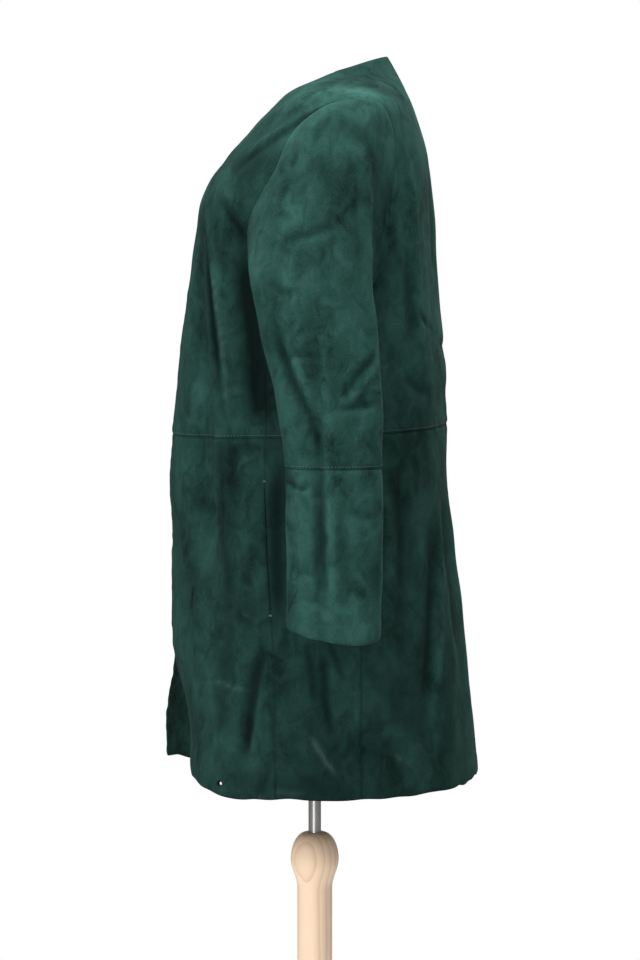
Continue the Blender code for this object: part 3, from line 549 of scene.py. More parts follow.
def ease(part):
    """Smooth step from 0 to 1."""
    part = np.clip(part, 0.0, 1.0)
    return part * part * (3 - 2 * part)


def fold_depth(folds, angle, height, one_sided=True):
    """How far the folds push a surface out at an angle in degrees and a height."""
    signed = (angle + 180.0) % 360.0 - 180.0
    depth = np.zeros_like(height)
    for fold in folds:
        down = (fold.top - height) / (fold.top - fold.bottom)
        slope = 4 * fold.angle_middle - 3 * fold.angle_top - fold.angle_bottom
        curve = fold.angle_top - 2 * fold.angle_middle + fold.angle_bottom
        middle = fold.angle_top + down * (slope + 2 * curve * down)
        on_side = fold.side * signed > (0 if one_sided else -180)
        bell = on_side * np.exp(-(((fold.side * signed - middle) / fold.spread) ** 2))
        depth = depth + fold.depth * bell * ease(np.minimum(down, 1 - down) / FOLD_FADE)
    return depth


def section_radius(section, angle):
    """Distance from a section's centre to its outline at an angle in degrees from the front."""
    sine = np.sin(np.radians(angle))
    cosine = np.cos(np.radians(angle))
    ahead = cosine > 0
    reach = np.where(ahead, section.centre - section.front, section.back - section.centre)
    power = np.where(ahead, section.front_power, section.back_power)
    sides = np.abs(sine / section.half_width) ** power + np.abs(cosine / reach) ** power
    return sides ** (-1 / power)


def torso_points(rows, folds, angle, level):
    """Points of a torso surface at angles in degrees and fractional row numbers."""
    section = between_rows(rows, level)
    radius = section_radius(section, angle) + fold_depth(folds, angle, section.height)
    x = radius * np.sin(np.radians(angle))
    y = section.centre - radius * np.cos(np.radians(angle))
    return np.stack([x, y, section.height], axis=-1)


def body_points(places):
    """Points of the coat's body at (angle, level) places."""
    return torso_points(BODY_SECTIONS, BODY_FOLDS, places[..., 0], places[..., 1])


def angle_where(level, side_value, axis):
    """Angle, 0 to 180, at which the plain body section at a level has a given x or y."""
    top_angle = 90.0 if axis == 0 else 180.0
    angles = np.linspace(0.0, top_angle, SECTION_SAMPLES)
    points = torso_points(BODY_SECTIONS, (), angles, np.full_like(angles, level))
    return np.interp(side_value, points[:, axis], angles)


def hem_height(angle, side=1):
    """Height of the hem, which differs between the sides only near the front edges."""
    folded_round = np.where(angle > 180, 360 - angle, angle)
    return column_by(HEM, "angle", "left" if side > 0 else "right", folded_round)


def waist_height(angle):
    """Height of the waist seam at an angle from the front."""
    back_share = (1 - np.cos(np.radians(angle))) / 2
    return WAIST_FRONT_HEIGHT + (WAIST_BACK_HEIGHT - WAIST_FRONT_HEIGHT) * back_share


def places_at(angle, height):
    """(angle, level) places from angles and heights."""
    angle = np.asarray(angle, dtype=float)
    return np.stack([angle, level_at(BODY_SECTIONS, height)], axis=-1)


def along(start, end):
    """Closely spaced places from one to another."""
    return np.linspace(start, end, DENSE + 1)


def front_edge(side, heights):
    """Places of the open front edge and neckline of one side."""
    column = "left" if side > 0 else "right"
    distances = column_by(FRONT_EDGES, "height", column, heights)
    levels = level_at(BODY_SECTIONS, heights)
    angles = [angle_where(level, distance, 0) for level, distance in zip(levels, distances)]
    return np.stack([np.array(angles), levels], axis=-1)


def armhole(turns):
    """Places on the body of the armhole's edge at turns in degrees."""
    sine = np.sin(np.radians(turns))
    cosine = np.cos(np.radians(turns))
    up = cosine > 0
    power = np.where(up, ARMHOLE_POWER_UP, ARMHOLE_POWER_DOWN)
    scale = (np.abs(sine) ** power + np.abs(cosine) ** power) ** (-1 / power)
    lean = ARMHOLE_LEAN * np.maximum(cosine, 0.0) ** ARMHOLE_LEAN_POWER
    scoop = ARMHOLE_SCOOP * np.exp(-(((turns - ARMHOLE_SCOOP_TURN) / ARMHOLE_SCOOP_SPREAD) ** 2))
    y = ARMHOLE_MIDDLE[0] + lean + scoop - ARMHOLE_HALF_DEPTH * scale * sine
    reach = np.where(up, ARMHOLE_REACH_UP, ARMHOLE_REACH_DOWN)
    levels = level_at(BODY_SECTIONS, ARMHOLE_MIDDLE[1] + reach * scale * cosine)
    angles = [angle_where(level, value, 1) for level, value in zip(levels, y)]
    return np.stack([np.array(angles), levels], axis=-1)


def side_seam(angles, corner_turn):
    """Places of a side seam from the waist up to its corner on the armhole."""
    waist = places_at(angles["waist"], waist_height(angles["waist"]))
    return along(waist, armhole(np.array([corner_turn]))[0])


def skirt_seam(angles):
    """Places of a side seam from the hem up to the waist."""
    hem = places_at(angles["hem"], hem_height(angles["hem"]))
    waist = places_at(angles["waist"], waist_height(angles["waist"]))
    return along(hem, waist)


def waist_run(start, end):
    """Places of the waist seam between two angles."""
    angles = np.linspace(start, end, DENSE + 1)
    return places_at(angles, waist_height(angles))


def hem_run(start, end, side=1):
    """Places of the hem between two angles."""
    angles = np.linspace(start, end, DENSE + 1)
    return places_at(angles, hem_height(angles, side))


def joined(first, second):
    """Two runs of places that meet, as one run."""
    return np.concatenate([first, second[1:]])


def mirrored(places):
    """The same places on the other side of the body, counted on past the back."""
    return np.stack([360 - places[..., 0], places[..., 1]], axis=-1)


def front_upper(side):
    """Edges of a front above the waist: waist, shoulder, front edge, then side seam and armhole."""
    right = joined(side_seam(FRONT_SEAM_ANGLE, FRONT_SEAM_TURN),
                   armhole(np.linspace(FRONT_SEAM_TURN, SHOULDER_TURN, DENSE + 1)))
    left = front_edge(side, np.linspace(WAIST_FRONT_HEIGHT, FRONT_EDGES[-1].height, DENSE + 1))
    bottom = waist_run(left[0, 0], right[0, 0])
    left[0] = bottom[0]
    return bottom, along(left[-1], right[-1]), left, right


def side_upper(side):
    """Edges of a side panel above the waist, up to the bottom of the armhole."""
    left = side_seam(FRONT_SEAM_ANGLE, FRONT_SEAM_TURN)
    right = side_seam(BACK_SEAM_ANGLE, BACK_SEAM_TURN)
    top = armhole(np.linspace(FRONT_SEAM_TURN, 360 + BACK_SEAM_TURN, DENSE + 1))
    return waist_run(left[0, 0], right[0, 0]), top, left, right


def back_upper(side):
    """Edges of the back above the waist, from the left armhole round to the right one."""
    left = joined(side_seam(BACK_SEAM_ANGLE, BACK_SEAM_TURN),
                  armhole(np.linspace(BACK_SEAM_TURN, SHOULDER_TURN, DENSE + 1)))
    right = mirrored(left)
    top_height = np.array([FRONT_EDGES[-1].height])
    neck_left = front_edge(1, top_height)[0]
    neck_right = mirrored(front_edge(-1, top_height)[0])
    neck_angles = np.linspace(neck_left[0], neck_right[0], DENSE + 1)
    nape_share = np.cos(np.radians(neck_left[0])) - np.cos(np.radians(neck_angles))
    nape_share = (np.maximum(nape_share, 0.0) / nape_share.max()) ** NECK_RISE_POWER
    nape_level = level_at(BODY_SECTIONS, NAPE_HEIGHT)
    neck = np.stack([neck_angles, neck_left[1] + (nape_level - neck_left[1]) * nape_share], axis=-1)
    neck[-1] = neck_right
    top = joined(joined(along(left[-1], neck[0]), neck), along(neck[-1], right[-1]))
    return waist_run(left[0, 0], right[0, 0]), top, left, right


def front_lower(side):
    """Edges of a front below the waist."""
    right = skirt_seam(FRONT_SEAM_ANGLE)
    left = front_edge(side, np.linspace(hem_height(0.0, side), WAIST_FRONT_HEIGHT, DENSE + 1))
    bottom = hem_run(left[0, 0], right[0, 0], side)
    top = waist_run(left[-1, 0], right[-1, 0])
    left[0] = bottom[0]
    left[-1] = top[0]
    return bottom, top, left, right


def side_lower(side):
    """Edges of a side panel below the waist."""
    left = skirt_seam(FRONT_SEAM_ANGLE)
    right = skirt_seam(BACK_SEAM_ANGLE)
    return hem_run(left[0, 0], right[0, 0]), waist_run(left[-1, 0], right[-1, 0]), left, right


def back_lower(side):
    """Edges of the back below the waist."""
    left = skirt_seam(BACK_SEAM_ANGLE)
    right = mirrored(left)
    return hem_run(left[0, 0], right[0, 0]), waist_run(left[-1, 0], right[-1, 0]), left, right


def unit(vectors):
    """Vectors of length one in the same directions."""
    return vectors / np.maximum(np.linalg.norm(vectors, axis=-1, keepdims=True), TINY)


def run_lengths(points):
    """Distance along a run of points, from its start."""
    steps = np.linalg.norm(np.diff(points, axis=0), axis=-1)
    return np.concatenate([np.zeros((1,) + steps.shape[1:]), np.cumsum(steps, axis=0)])


def along_run(run, lengths, at):
    """Points of a run at distances from its start."""
    return np.stack([np.interp(at, lengths, column) for column in run.T], axis=-1)


def spaced(length, spacing):
    """Shares of a length at an even spacing, with closer ones beside both ends."""
    near = np.array(EDGE_STEPS) / length
    count = max(2, round((1 - 2 * near[-1]) * length / spacing))
    middle = np.linspace(near[-1], 1 - near[-1], count + 1)
    return np.concatenate([near[:-1], middle, 1 - near[:-1][::-1]])


def at_shares(run, shares):
    """Places at shares of a run's length on the body."""
    lengths = run_lengths(body_points(run))
    return along_run(run, lengths, shares * lengths[-1])


def body_grid(edges, side, spacing, side_power):
    """Fine grid of places between the four edges of a panel, counted from the hem up.

    The bends of the left and right edges die out towards the other side, faster with a higher power.
    """
    turned = [edge * np.array([side, 1]) for edge in edges]
    lengths = [run_lengths(body_points(edge))[-1] for edge in turned]
    across = spaced(max(lengths[0], lengths[1]), spacing)
    up = spaced(max(lengths[2], lengths[3]), spacing)
    bottom, top = (at_shares(edge, across) for edge in turned[:2])
    left, right = (at_shares(edge, up) for edge in turned[2:])
    across = across[None, :, None]
    up = up[:, None, None]
    ruled_up = (1 - up) * bottom[None] + up * top[None]
    left_bend = left[:, None] - (1 - up) * bottom[0] - up * top[0]
    right_bend = right[:, None] - (1 - up) * bottom[-1] - up * top[-1]
    return ruled_up + (1 - across) ** side_power * left_bend + across ** side_power * right_bend


def twisted(turns):
    """Turns on the sleeve's tube that meet the given turns of the armhole."""
    return turns - SLEEVE_TWIST * (1 - np.abs(turns) / 180)


def tube_points(turn, level):
    """Points of the hanging part of the left sleeve at turns, 0 outwards and 90 forwards, and ring levels."""
    ring = between_rows(SLEEVE_RINGS, level)
    sine = np.sin(np.radians(turn))
    cosine = np.cos(np.radians(turn))
    scale = (np.abs(sine) ** SLEEVE_POWER + np.abs(cosine) ** SLEEVE_POWER) ** (-1 / SLEEVE_POWER)
    folds = 1 + fold_depth(SLEEVE_FOLDS, turn, ring.height, one_sided=False) / ring.half_width
    x = ring.across + ring.half_width * scale * cosine * folds
    y = ring.fore - ring.half_depth * scale * sine
    return np.stack([x, y, ring.height], axis=-1)


def cap_points(turns, shares):
    """Grid of the left sleeve's cap: rows from the armhole at share 0 to the first ring at share 1."""
    start = body_points(armhole(turns))
    tube_turns = twisted(turns)
    end = tube_points(tube_turns, np.zeros_like(turns))
    below = tube_points(tube_turns, np.full_like(turns, LEVEL_STEP))
    down = unit(below - end)
    low = (1 - np.cos(np.radians(turns))) / 2
    slope = CAP_SLOPE[0] + (CAP_SLOPE[1] - CAP_SLOPE[0]) * low
    leave = unit(np.stack([np.ones_like(turns), np.zeros_like(turns), -slope], axis=-1))
    rise = (CAP_RISE[0] + (CAP_RISE[1] - CAP_RISE[0]) * low)[:, None]
    fall = (CAP_FALL[0] + (CAP_FALL[1] - CAP_FALL[0]) * low)[:, None]
    behind = np.maximum(0.0, -np.sin(np.radians(turns)))[:, None]
    first = start + rise * leave + behind * np.array(CAP_BACK_TUCK)
    second = end - fall * (down + behind * np.array([0.0, CAP_BACK_LIFT, 0.0]))
    share = shares[:, None, None]
    rest = 1 - share
    near_start = rest ** 3 * start + 3 * rest ** 2 * share * first
    return near_start + 3 * rest * share ** 2 * second + share ** 3 * end


def sleeve_turns(spacing):
    """Turns of a sleeve's columns, from the seam under the arm round to it again."""
    girth = 4 * (SLEEVE_RINGS[0].half_depth + SLEEVE_RINGS[0].half_width) * GIRTH_SHARE
    return -180.0 + 360.0 * spaced(girth, spacing)


def sleeve_upper(spacing):
    """Grid of the left upper sleeve, from the armhole to the elbow seam."""
    turns = sleeve_turns(spacing)
    tube_turns = twisted(turns)
    cap_length = ARMHOLE_MIDDLE[1] + ARMHOLE_REACH_UP - SLEEVE_RINGS[0].height
    cap = cap_points(turns, spaced(cap_length, spacing)[:-len(EDGE_STEPS)])
    tube_length = SLEEVE_RINGS[0].height - SLEEVE_RINGS[2].height
    levels = ELBOW_LEVEL * spaced(tube_length, spacing)[len(EDGE_STEPS) - 1:]
    turn, level = np.meshgrid(tube_turns, levels)
    return np.concatenate([cap, tube_points(turn, level)])


def sleeve_lower(spacing):
    """Grid of the left lower sleeve, from the elbow seam to the cuff, low outside and high in front."""
    turns = sleeve_turns(spacing)
    tube_turns = twisted(turns)
    cuff_heights = CUFF_HEIGHT - CUFF_DIP * (1 + np.cos(np.radians(turns))) / 2
    cuff_heights = cuff_heights + CUFF_FRONT_RISE * np.maximum(np.sin(np.radians(turns)), 0.0) ** 2
    rows = tuple(reversed(SLEEVE_RINGS))
    cuff = len(rows) - 1 - level_at(rows, cuff_heights)
    shares = spaced(SLEEVE_RINGS[2].height - CUFF_HEIGHT, spacing)[:, None]
    level = ELBOW_LEVEL + shares * (cuff - ELBOW_LEVEL)
    return tube_points(np.broadcast_to(tube_turns, level.shape), level)


def outward(points, centre):
    """Unit normals of a grid of points, away from a centre line."""
    normal = unit(np.cross(np.gradient(points, axis=1), np.gradient(points, axis=0)))
    facing = (normal[..., :2] * (points[..., :2] - np.array(centre))).sum(axis=-1)
    return normal if facing.mean() > 0 else -normal


def drawn_in(grid, gap):
    """A grid of points with its four edges moved in by a gap."""
    grid = grid.copy()
    for edge, inner in ((0, 1), (-1, -2)):
        for lines in (grid, grid.swapaxes(0, 1)):
            lines[edge] += gap * unit(lines[inner] - lines[edge])
    return grid


def border_distances(points):
    """Distance of each point of a grid from its bottom, top, left and right edges, along the cloth."""
    up = run_lengths(points)
    across = run_lengths(points.swapaxes(0, 1)).T
    return {"bottom": up, "top": up[-1:] - up, "left": across, "right": across[:, -1:] - across}


def open_pocket(points, distances, border, inward):
    """Draw in a side seam where the pocket's mouth is."""
    middle = sum(POCKET_HEIGHTS) / 2
    half = (POCKET_HEIGHTS[1] - POCKET_HEIGHTS[0]) / 2
    reach = ease((half - np.abs(points[..., 2] - middle)) / POCKET_END)
    near = np.exp(-((distances[border] / POCKET_REACH) ** 2))
    across = unit(np.gradient(points, axis=1))
    return points + (inward * POCKET_MOUTH / 2 * reach * near)[..., None] * across


class Path:
    """A crease or mark laid on the cloth: points in space with its spread and strength."""

    def __init__(self, points, spread, strength):
        self.points = points
        self.spread = spread
        self.strength = strength

    def added_to(self, points):
        """Strength of the path at a grid of points, fading across it and towards its ends."""
        reach = PATH_REACH * self.spread
        low = self.points.min(axis=0) - reach
        high = self.points.max(axis=0) + reach
        near = np.all((points > low) & (points < high), axis=-1)
        result = np.zeros(points.shape[:-1])
        if near.any():
            gaps = np.linalg.norm(points[near][:, None] - self.points[None], axis=-1)
            nearest = gaps.argmin(axis=1)
            share = nearest / max(1, len(self.points) - 1)
            inside = ease(np.minimum(share, 1 - share) / PATH_END_SHARE)
            fade = PATH_END_STRENGTH + (1 - PATH_END_STRENGTH) * inside
            result[near] = self.strength * fade * np.exp(-((gaps.min(axis=1) / self.spread) ** 2))
        return result


def total(paths, points):
    """Strengths of all the paths together at a grid of points."""
    return sum((path.added_to(points) for path in paths), np.zeros(points.shape[:-1]))


def laid_path(cloud, line, axis, spread, strength):
    """A path on the outermost points of a cloud along a line of millimetres seen along an axis."""
    flat_axis = 1 - axis
    corners = np.array(line, dtype=float) / 1000
    lengths = run_lengths(corners)
    at = np.linspace(0, lengths[-1], max(2, math.ceil(lengths[-1] / CREASE_STEP)))
    flat = along_run(corners, lengths, at)
    gaps = np.hypot(cloud[None, :, flat_axis] - flat[:, None, 0], cloud[None, :, 2] - flat[:, None, 1])
    close = gaps < np.maximum(CLOUD_REACH, gaps.min(axis=1, keepdims=True) + CLOUD_SLACK)
    outermost = np.where(close, np.abs(cloud[None, :, axis]), -1.0).argmax(axis=1)
    points = cloud[outermost].copy()
    points[:, flat_axis] = flat[:, 0]
    points[:, 2] = flat[:, 1]
    return Path(points, spread / 1000, strength)


def side_paths(cloud, creases, side):
    """Paths of creases on one side. Those on the right are the left's, a little lower and shallower."""
    paths = []
    for crease in creases:
        line = np.array(crease.line)
        depth = CREASE_GAIN * crease.depth / 1000
        if side < 0:
            line = line + np.array(RIGHT_SHIFT_MM)
            depth = depth * RIGHT_DEPTH
        paths.append(laid_path(cloud, line, 0, crease.spread, depth))
    return paths


def side_shades(cloud, shades, side):
    """Paths of light and dark areas on one side. Those on the right are a little lower."""
    shift = np.array(RIGHT_SHIFT_MM if side < 0 else (0, 0))
    return [laid_path(cloud, np.array(shade.line) + shift, 0, shade.spread, shade.strength)
            for shade in shades]


def gentle_waves(points, seed, height, lengths):
    """A low, uneven swell over the cloth, the same at the same place on every panel."""
    random = np.random.default_rng(seed)
    swell = np.zeros(points.shape[:-1])
    for _ in range(WAVE_COUNT):
        direction = random.normal(size=3)
        direction = direction / np.linalg.norm(direction)
        wave_length = random.uniform(*lengths)
        phase = random.uniform(0, 2 * np.pi)
        swell += np.sin(points @ direction * (2 * np.pi / wave_length) + phase)
    return height * swell / math.sqrt(WAVE_COUNT / 2)


def step_below(distance, reach, height):
    """Extra height beside an edge where the suede is doubled, ending in a soft step."""
    return height * (1 - ease((distance - reach) / SOFT_STEP))


def linked(name, data):
    """A new object of the scene."""
    piece = bpy.data.objects.new(name, data)
    bpy.context.scene.collection.objects.link(piece)
    return piece


def cloth_shell(name, outer, inner, values):
    """A closed shell between two grids of points, with values at its points."""
    rows, columns = outer.shape[:2]
    index = np.arange(rows * columns).reshape(rows, columns)
    quads = np.stack([index[:-1, :-1], index[:-1, 1:], index[1:, 1:], index[1:, :-1]], axis=-1).reshape(-1, 4)
    ring = np.concatenate([index[0, :-1], index[:-1, -1], index[-1, :0:-1], index[:0:-1, 0]])
    following = np.roll(ring, -1)
    offset = rows * columns
    sides = np.stack([following, ring, ring + offset, following + offset], axis=-1)
    faces = np.concatenate([quads, quads[:, ::-1] + offset, sides])
    points = np.concatenate([outer.reshape(-1, 3), inner.reshape(-1, 3)])
    corners = points[faces]
    volume = np.einsum("ij,ij->i", corners[:, 0], np.cross(corners[:, 1], corners[:, 2])).sum()
    volume += np.einsum("ij,ij->i", corners[:, 0], np.cross(corners[:, 2], corners[:, 3])).sum()
    if volume < 0:
        faces = faces[:, ::-1]
    mesh = bpy.data.meshes.new(name)
    mesh.from_pydata(points.tolist(), [], faces.tolist())
    for key, value in values.items():
        attribute = mesh.attributes.new(key, "FLOAT", "POINT")
        doubled = np.concatenate([value.ravel(), value.ravel()])
        attribute.data.foreach_set("value", doubled.astype(np.float32))
    mesh.shade_smooth()
    mesh.set_sharp_from_angle(angle=math.radians(SHARP_ANGLE))
    return linked(name, mesh)


class Panel:
    """One cut piece of the coat: its base grid, its finished face and its name."""

    def __init__(self, name, kind, base, centre):
        self.name = name
        self.kind = kind
        self.base = base
        self.normals = outward(base, centre)

    def finished(self, settings, creases, marks, shades):
        """Raise the creases, roll in the seams and make the shell."""
        points = drawn_in(self.base, SEAM_GAP / 2)
        distances = border_distances(self.base)
        turned_edges = TURNED_EDGES.get(self.kind, ())
        if self.kind == "front_lower":
            points = open_pocket(points, distances, "right", -1)
        if self.kind == "side_lower":
            points = open_pocket(points, distances, "left", 1)
        depth = total(creases, self.base)
        height = depth + gentle_waves(self.base, SEED_SWELL, WAVE_HEIGHT, WAVE_LENGTHS)
        hang = gentle_waves(self.base, SEED_HEM, HEM_WAVE_HEIGHT, HEM_WAVE_LENGTHS)
        for border in turned_edges:
            height = height + step_below(distances[border], HEM_TURN, HEM_STEP)
            points[..., 2] += hang * np.exp(-((distances[border] / HEM_WAVE_REACH) ** 2))
        for border in ALLOWANCES.get(self.kind, ()):
            height = height + step_below(distances[border], ALLOWANCE, ALLOWANCE_STEP)
        soft = ease((self.base[..., 2] - SOFT_EDGES_ABOVE) / SOFT_EDGES_OVER)
        roll = settings.seam_depth * (1 - (1 - SOFT_EDGE_SHARE) * soft)
        pucker = gentle_waves(self.base, SEED_PUCKER, PUCKER_HEIGHT, PUCKER_LENGTHS)
        sewn = np.zeros(points.shape[:-1])
        for border, distance in distances.items():
            height = height - roll * np.exp(-((distance / settings.seam_width) ** 2))
            if border not in turned_edges:
                sewn = np.maximum(sewn, np.exp(-((distance / PUCKER_REACH) ** 2)))
        height = height + pucker * sewn * (1 - soft)
        self.outer = points + height[..., None] * self.normals
        self.outer_normals = outward_like(self.outer, self.normals)
        inner = points + (height - settings.wall)[..., None] * self.normals
        edge = np.min(np.stack(list(distances.values())), axis=0)
        # Painted shade in creases and painted highlight on ridges, and the painted light of the shade paths,
        # go into the panel's colour
        creased = np.clip(depth, -CREASE_PAINTED_SHADE_LIMIT, CREASE_PAINTED_SHADE_LIMIT)
        tone = PANEL_TONES[self.kind] + total(shades, self.base) + CREASE_PAINTED_SHADE * creased
        tone = tone - EDGE_SHADE * (1 - soft) * np.exp(-((edge / EDGE_SHADE_REACH) ** 2))
        # Pale marks: rubbed suede near the hem, and painted highlight along the ridges
        wear = np.clip(total(marks, self.base), 0, 1)
        piece = cloth_shell(self.name, self.outer, inner, {"tone": tone, "rubbed": wear})
        width = run_lengths(self.outer.swapaxes(0, 1))[-1].max()
        length = run_lengths(self.outer)[-1].max()
        self.flat = (round(width, 3), round(length, 3))
        self.area = min(round(grid_area(self.outer), 4), self.flat[0] * self.flat[1])
        return piece


def outward_like(points, guide):
    """Unit normals of a grid of points on the side of a guide's normals."""
    normal = unit(np.cross(np.gradient(points, axis=1), np.gradient(points, axis=0)))
    return np.where((normal * guide).sum(axis=-1, keepdims=True) < 0, -normal, normal)


def grid_area(points):
    """Area of a grid of points."""
    first = np.cross(points[:-1, 1:] - points[:-1, :-1], points[1:, 1:] - points[:-1, :-1])
    second = np.cross(points[1:, 1:] - points[:-1, :-1], points[1:, :-1] - points[:-1, :-1])
    return 0.5 * (np.linalg.norm(first, axis=-1).sum() + np.linalg.norm(second, axis=-1).sum())


SIDES = ((1, "left"), (-1, "right"))
BODY_CENTRE = (0.0, 0.01)
TURNED_EDGES = {"front_lower": ("bottom",), "side_lower": ("bottom",), "back_lower": ("bottom",),
                "sleeve_lower": ("top",)}
ALLOWANCES = {"front_upper": ("bottom",), "side_upper": ("bottom",), "back_upper": ("bottom",),
              "sleeve_upper": ("top",)}
PANELS = {}


def body_panels(makers, spacing):
    """Panels of the body made by the given edge functions."""
    panels = []
    for make in makers:
        kind = make.__name__
        power = BACK_SIDE_POWER if make is back_upper else 1
        for side, word in SIDES if "back" not in kind else ((1, ""),):
            base = body_points(body_grid(make(side), side, spacing, power))
            panels.append(Panel(f"suede_{kind}_{word}".rstrip("_"), kind, base, BODY_CENTRE))
    return panels


def body_cloud(side):
    """Points of one side of the body that creases are laid on."""
    angles, levels = np.meshgrid(np.linspace(0, 180, CLOUD_COUNTS[0]),
                                 np.linspace(0, len(BODY_SECTIONS) - 1, CLOUD_COUNTS[1]))
    return body_points(np.stack([side * angles, levels], axis=-1)).reshape(-1, 3)


def finish_body(panels, settings, material):
    """Crease, shell and declare panels of the body."""
    left_cloud = body_cloud(1)
    right_cloud = body_cloud(-1)
    both = np.concatenate([left_cloud, right_cloud])
    behind = both[both[:, 1] > BODY_CENTRE[1]]
    creases = side_paths(left_cloud, BODY_CREASES, 1) + side_paths(right_cloud, BODY_CREASES, -1)
    for crease in BACK_CREASES:
        creases.append(laid_path(behind, crease.line, 1, crease.spread, CREASE_GAIN * crease.depth / 1000))
    marks = side_shades(left_cloud, LEFT_MARKS, 1)
    shades = side_shades(left_cloud, BODY_NAP_AND_PAINTED_LIGHT, 1)
    shades += side_shades(right_cloud, BODY_NAP_AND_PAINTED_LIGHT + RIGHT_PAINTED_LIGHT, -1)
    for panel in panels:
        piece = panel.finished(settings, creases, marks, shades)
        declare_cloth(panel, piece, panel.name.replace("suede_", "coat_", 1), material)


def declare_cloth(panel, piece, node, material):
    """Give a panel its material and tie it to its solid."""
    piece.data.materials.append(material)
    if panel.name == "suede_front_lower_left":
        cut_worn_hole(piece)
    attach(piece, "root")
    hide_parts(node)
    PANELS[panel.name] = panel


def cut_away(piece, tool):
    """Cut the form of a tool out of a piece, and remove the tool."""
    cut = piece.modifiers.new("cut", "BOOLEAN")
    cut.operation = "DIFFERENCE"
    cut.object = tool
    bpy.context.view_layer.objects.active = piece
    bpy.ops.object.modifier_apply(modifier=cut.name)
    bpy.data.objects.remove(tool)


def cut_worn_hole(piece):
    """Cut the small hole near the hem with a round punch."""
    place = places_at(HOLE_ANGLE, HOLE_HEIGHT)
    middle = body_points(place)
    beside = body_points(place + np.array([1.0, 0.0])) - middle
    above = body_points(place + np.array([0.0, 0.05])) - middle
    direction = Vector(np.cross(beside, above))
    bpy.ops.object.select_all(action="DESELECT")
    turn = direction.to_track_quat("Z", "Y").to_euler()
    bpy.ops.mesh.primitive_cylinder_add(vertices=PUNCH_SIDES, radius=HOLE_DIAMETER / 2, depth=PUNCH_LENGTH,
                                        location=middle, rotation=turn)
    cut_away(piece, bpy.context.object)


def new_material(name):
    """A new node material, its tree and its shader."""
    material = bpy.data.materials.new(name)
    material.use_nodes = True
    tree = material.node_tree
    return material, tree, tree.nodes["Principled BSDF"]


def set_inputs(node, values):
    """Set constants on a node's own sockets."""
    for name, value in values.items():
        node.inputs[name].default_value = value


def noise(tree, coordinates, scale, detail, roughness=0.55, distortion=0.0):
    """A noise texture on the given coordinates."""
    node = tree.nodes.new("ShaderNodeTexNoise")
    set_inputs(node, {"Scale": scale, "Detail": detail, "Roughness": roughness, "Distortion": distortion})
    tree.links.new(coordinates, node.inputs["Vector"])
    return node.outputs["Fac"]


def bands(tree, coordinates, choices, values):
    """A wave texture on the given coordinates, with choices of its kind and values of its sockets."""
    node = tree.nodes.new("ShaderNodeTexWave")
    for name, choice in choices.items():
        setattr(node, name, choice)
    set_inputs(node, values)
    tree.links.new(coordinates, node.inputs["Vector"])
    return node.outputs["Fac"]


def maths(tree, operation, first, second):
    """A maths node of two sockets or numbers."""
    node = tree.nodes.new("ShaderNodeMath")
    node.operation = operation
    for socket, value in zip(node.inputs, (first, second)):
        if isinstance(value, (int, float)):
            socket.default_value = value
        else:
            tree.links.new(value, socket)
    return node.outputs[0]


def weighted(tree, *parts):
    """The sum of sockets, each times its weight."""
    scaled = [maths(tree, "MULTIPLY", socket, weight) for socket, weight in parts]
    result = scaled[0]
    for term in scaled[1:]:
        result = maths(tree, "ADD", result, term)
    return result


def mixed(tree, factor, first, second):
    """A colour mix of two colours or sockets."""
    node = tree.nodes.new("ShaderNodeMix")
    node.data_type = "RGBA"
    tree.links.new(factor, node.inputs["Factor"])
    for socket, value in ((node.inputs["A"], first), (node.inputs["B"], second)):
        if isinstance(value, bpy.types.NodeSocket):
            tree.links.new(value, socket)
        else:
            socket.default_value = (*value, 1.0)
    return node.outputs["Result"]


def bumped(tree, shader, height, distance, strength):
    """Drive the shader's normal by a height."""
    node = tree.nodes.new("ShaderNodeBump")
    set_inputs(node, {"Distance": distance, "Strength": strength})
    tree.links.new(height, node.inputs["Height"])
    tree.links.new(node.outputs["Normal"], shader.inputs["Normal"])


def object_coordinates(tree, scale=(1.0, 1.0, 1.0), place=(0.0, 0.0, 0.0)):
    """Object coordinates through a mapping."""
    source = tree.nodes.new("ShaderNodeTexCoord")
    mapping = tree.nodes.new("ShaderNodeMapping")
    set_inputs(mapping, {"Scale": scale, "Location": place})
    tree.links.new(source.outputs["Object"], mapping.inputs["Vector"])
    return mapping.outputs["Vector"]


def attribute_value(tree, name):
    """A value stored at the points of a piece."""
    node = tree.nodes.new("ShaderNodeAttribute")
    node.attribute_name = name
    return node.outputs["Fac"]


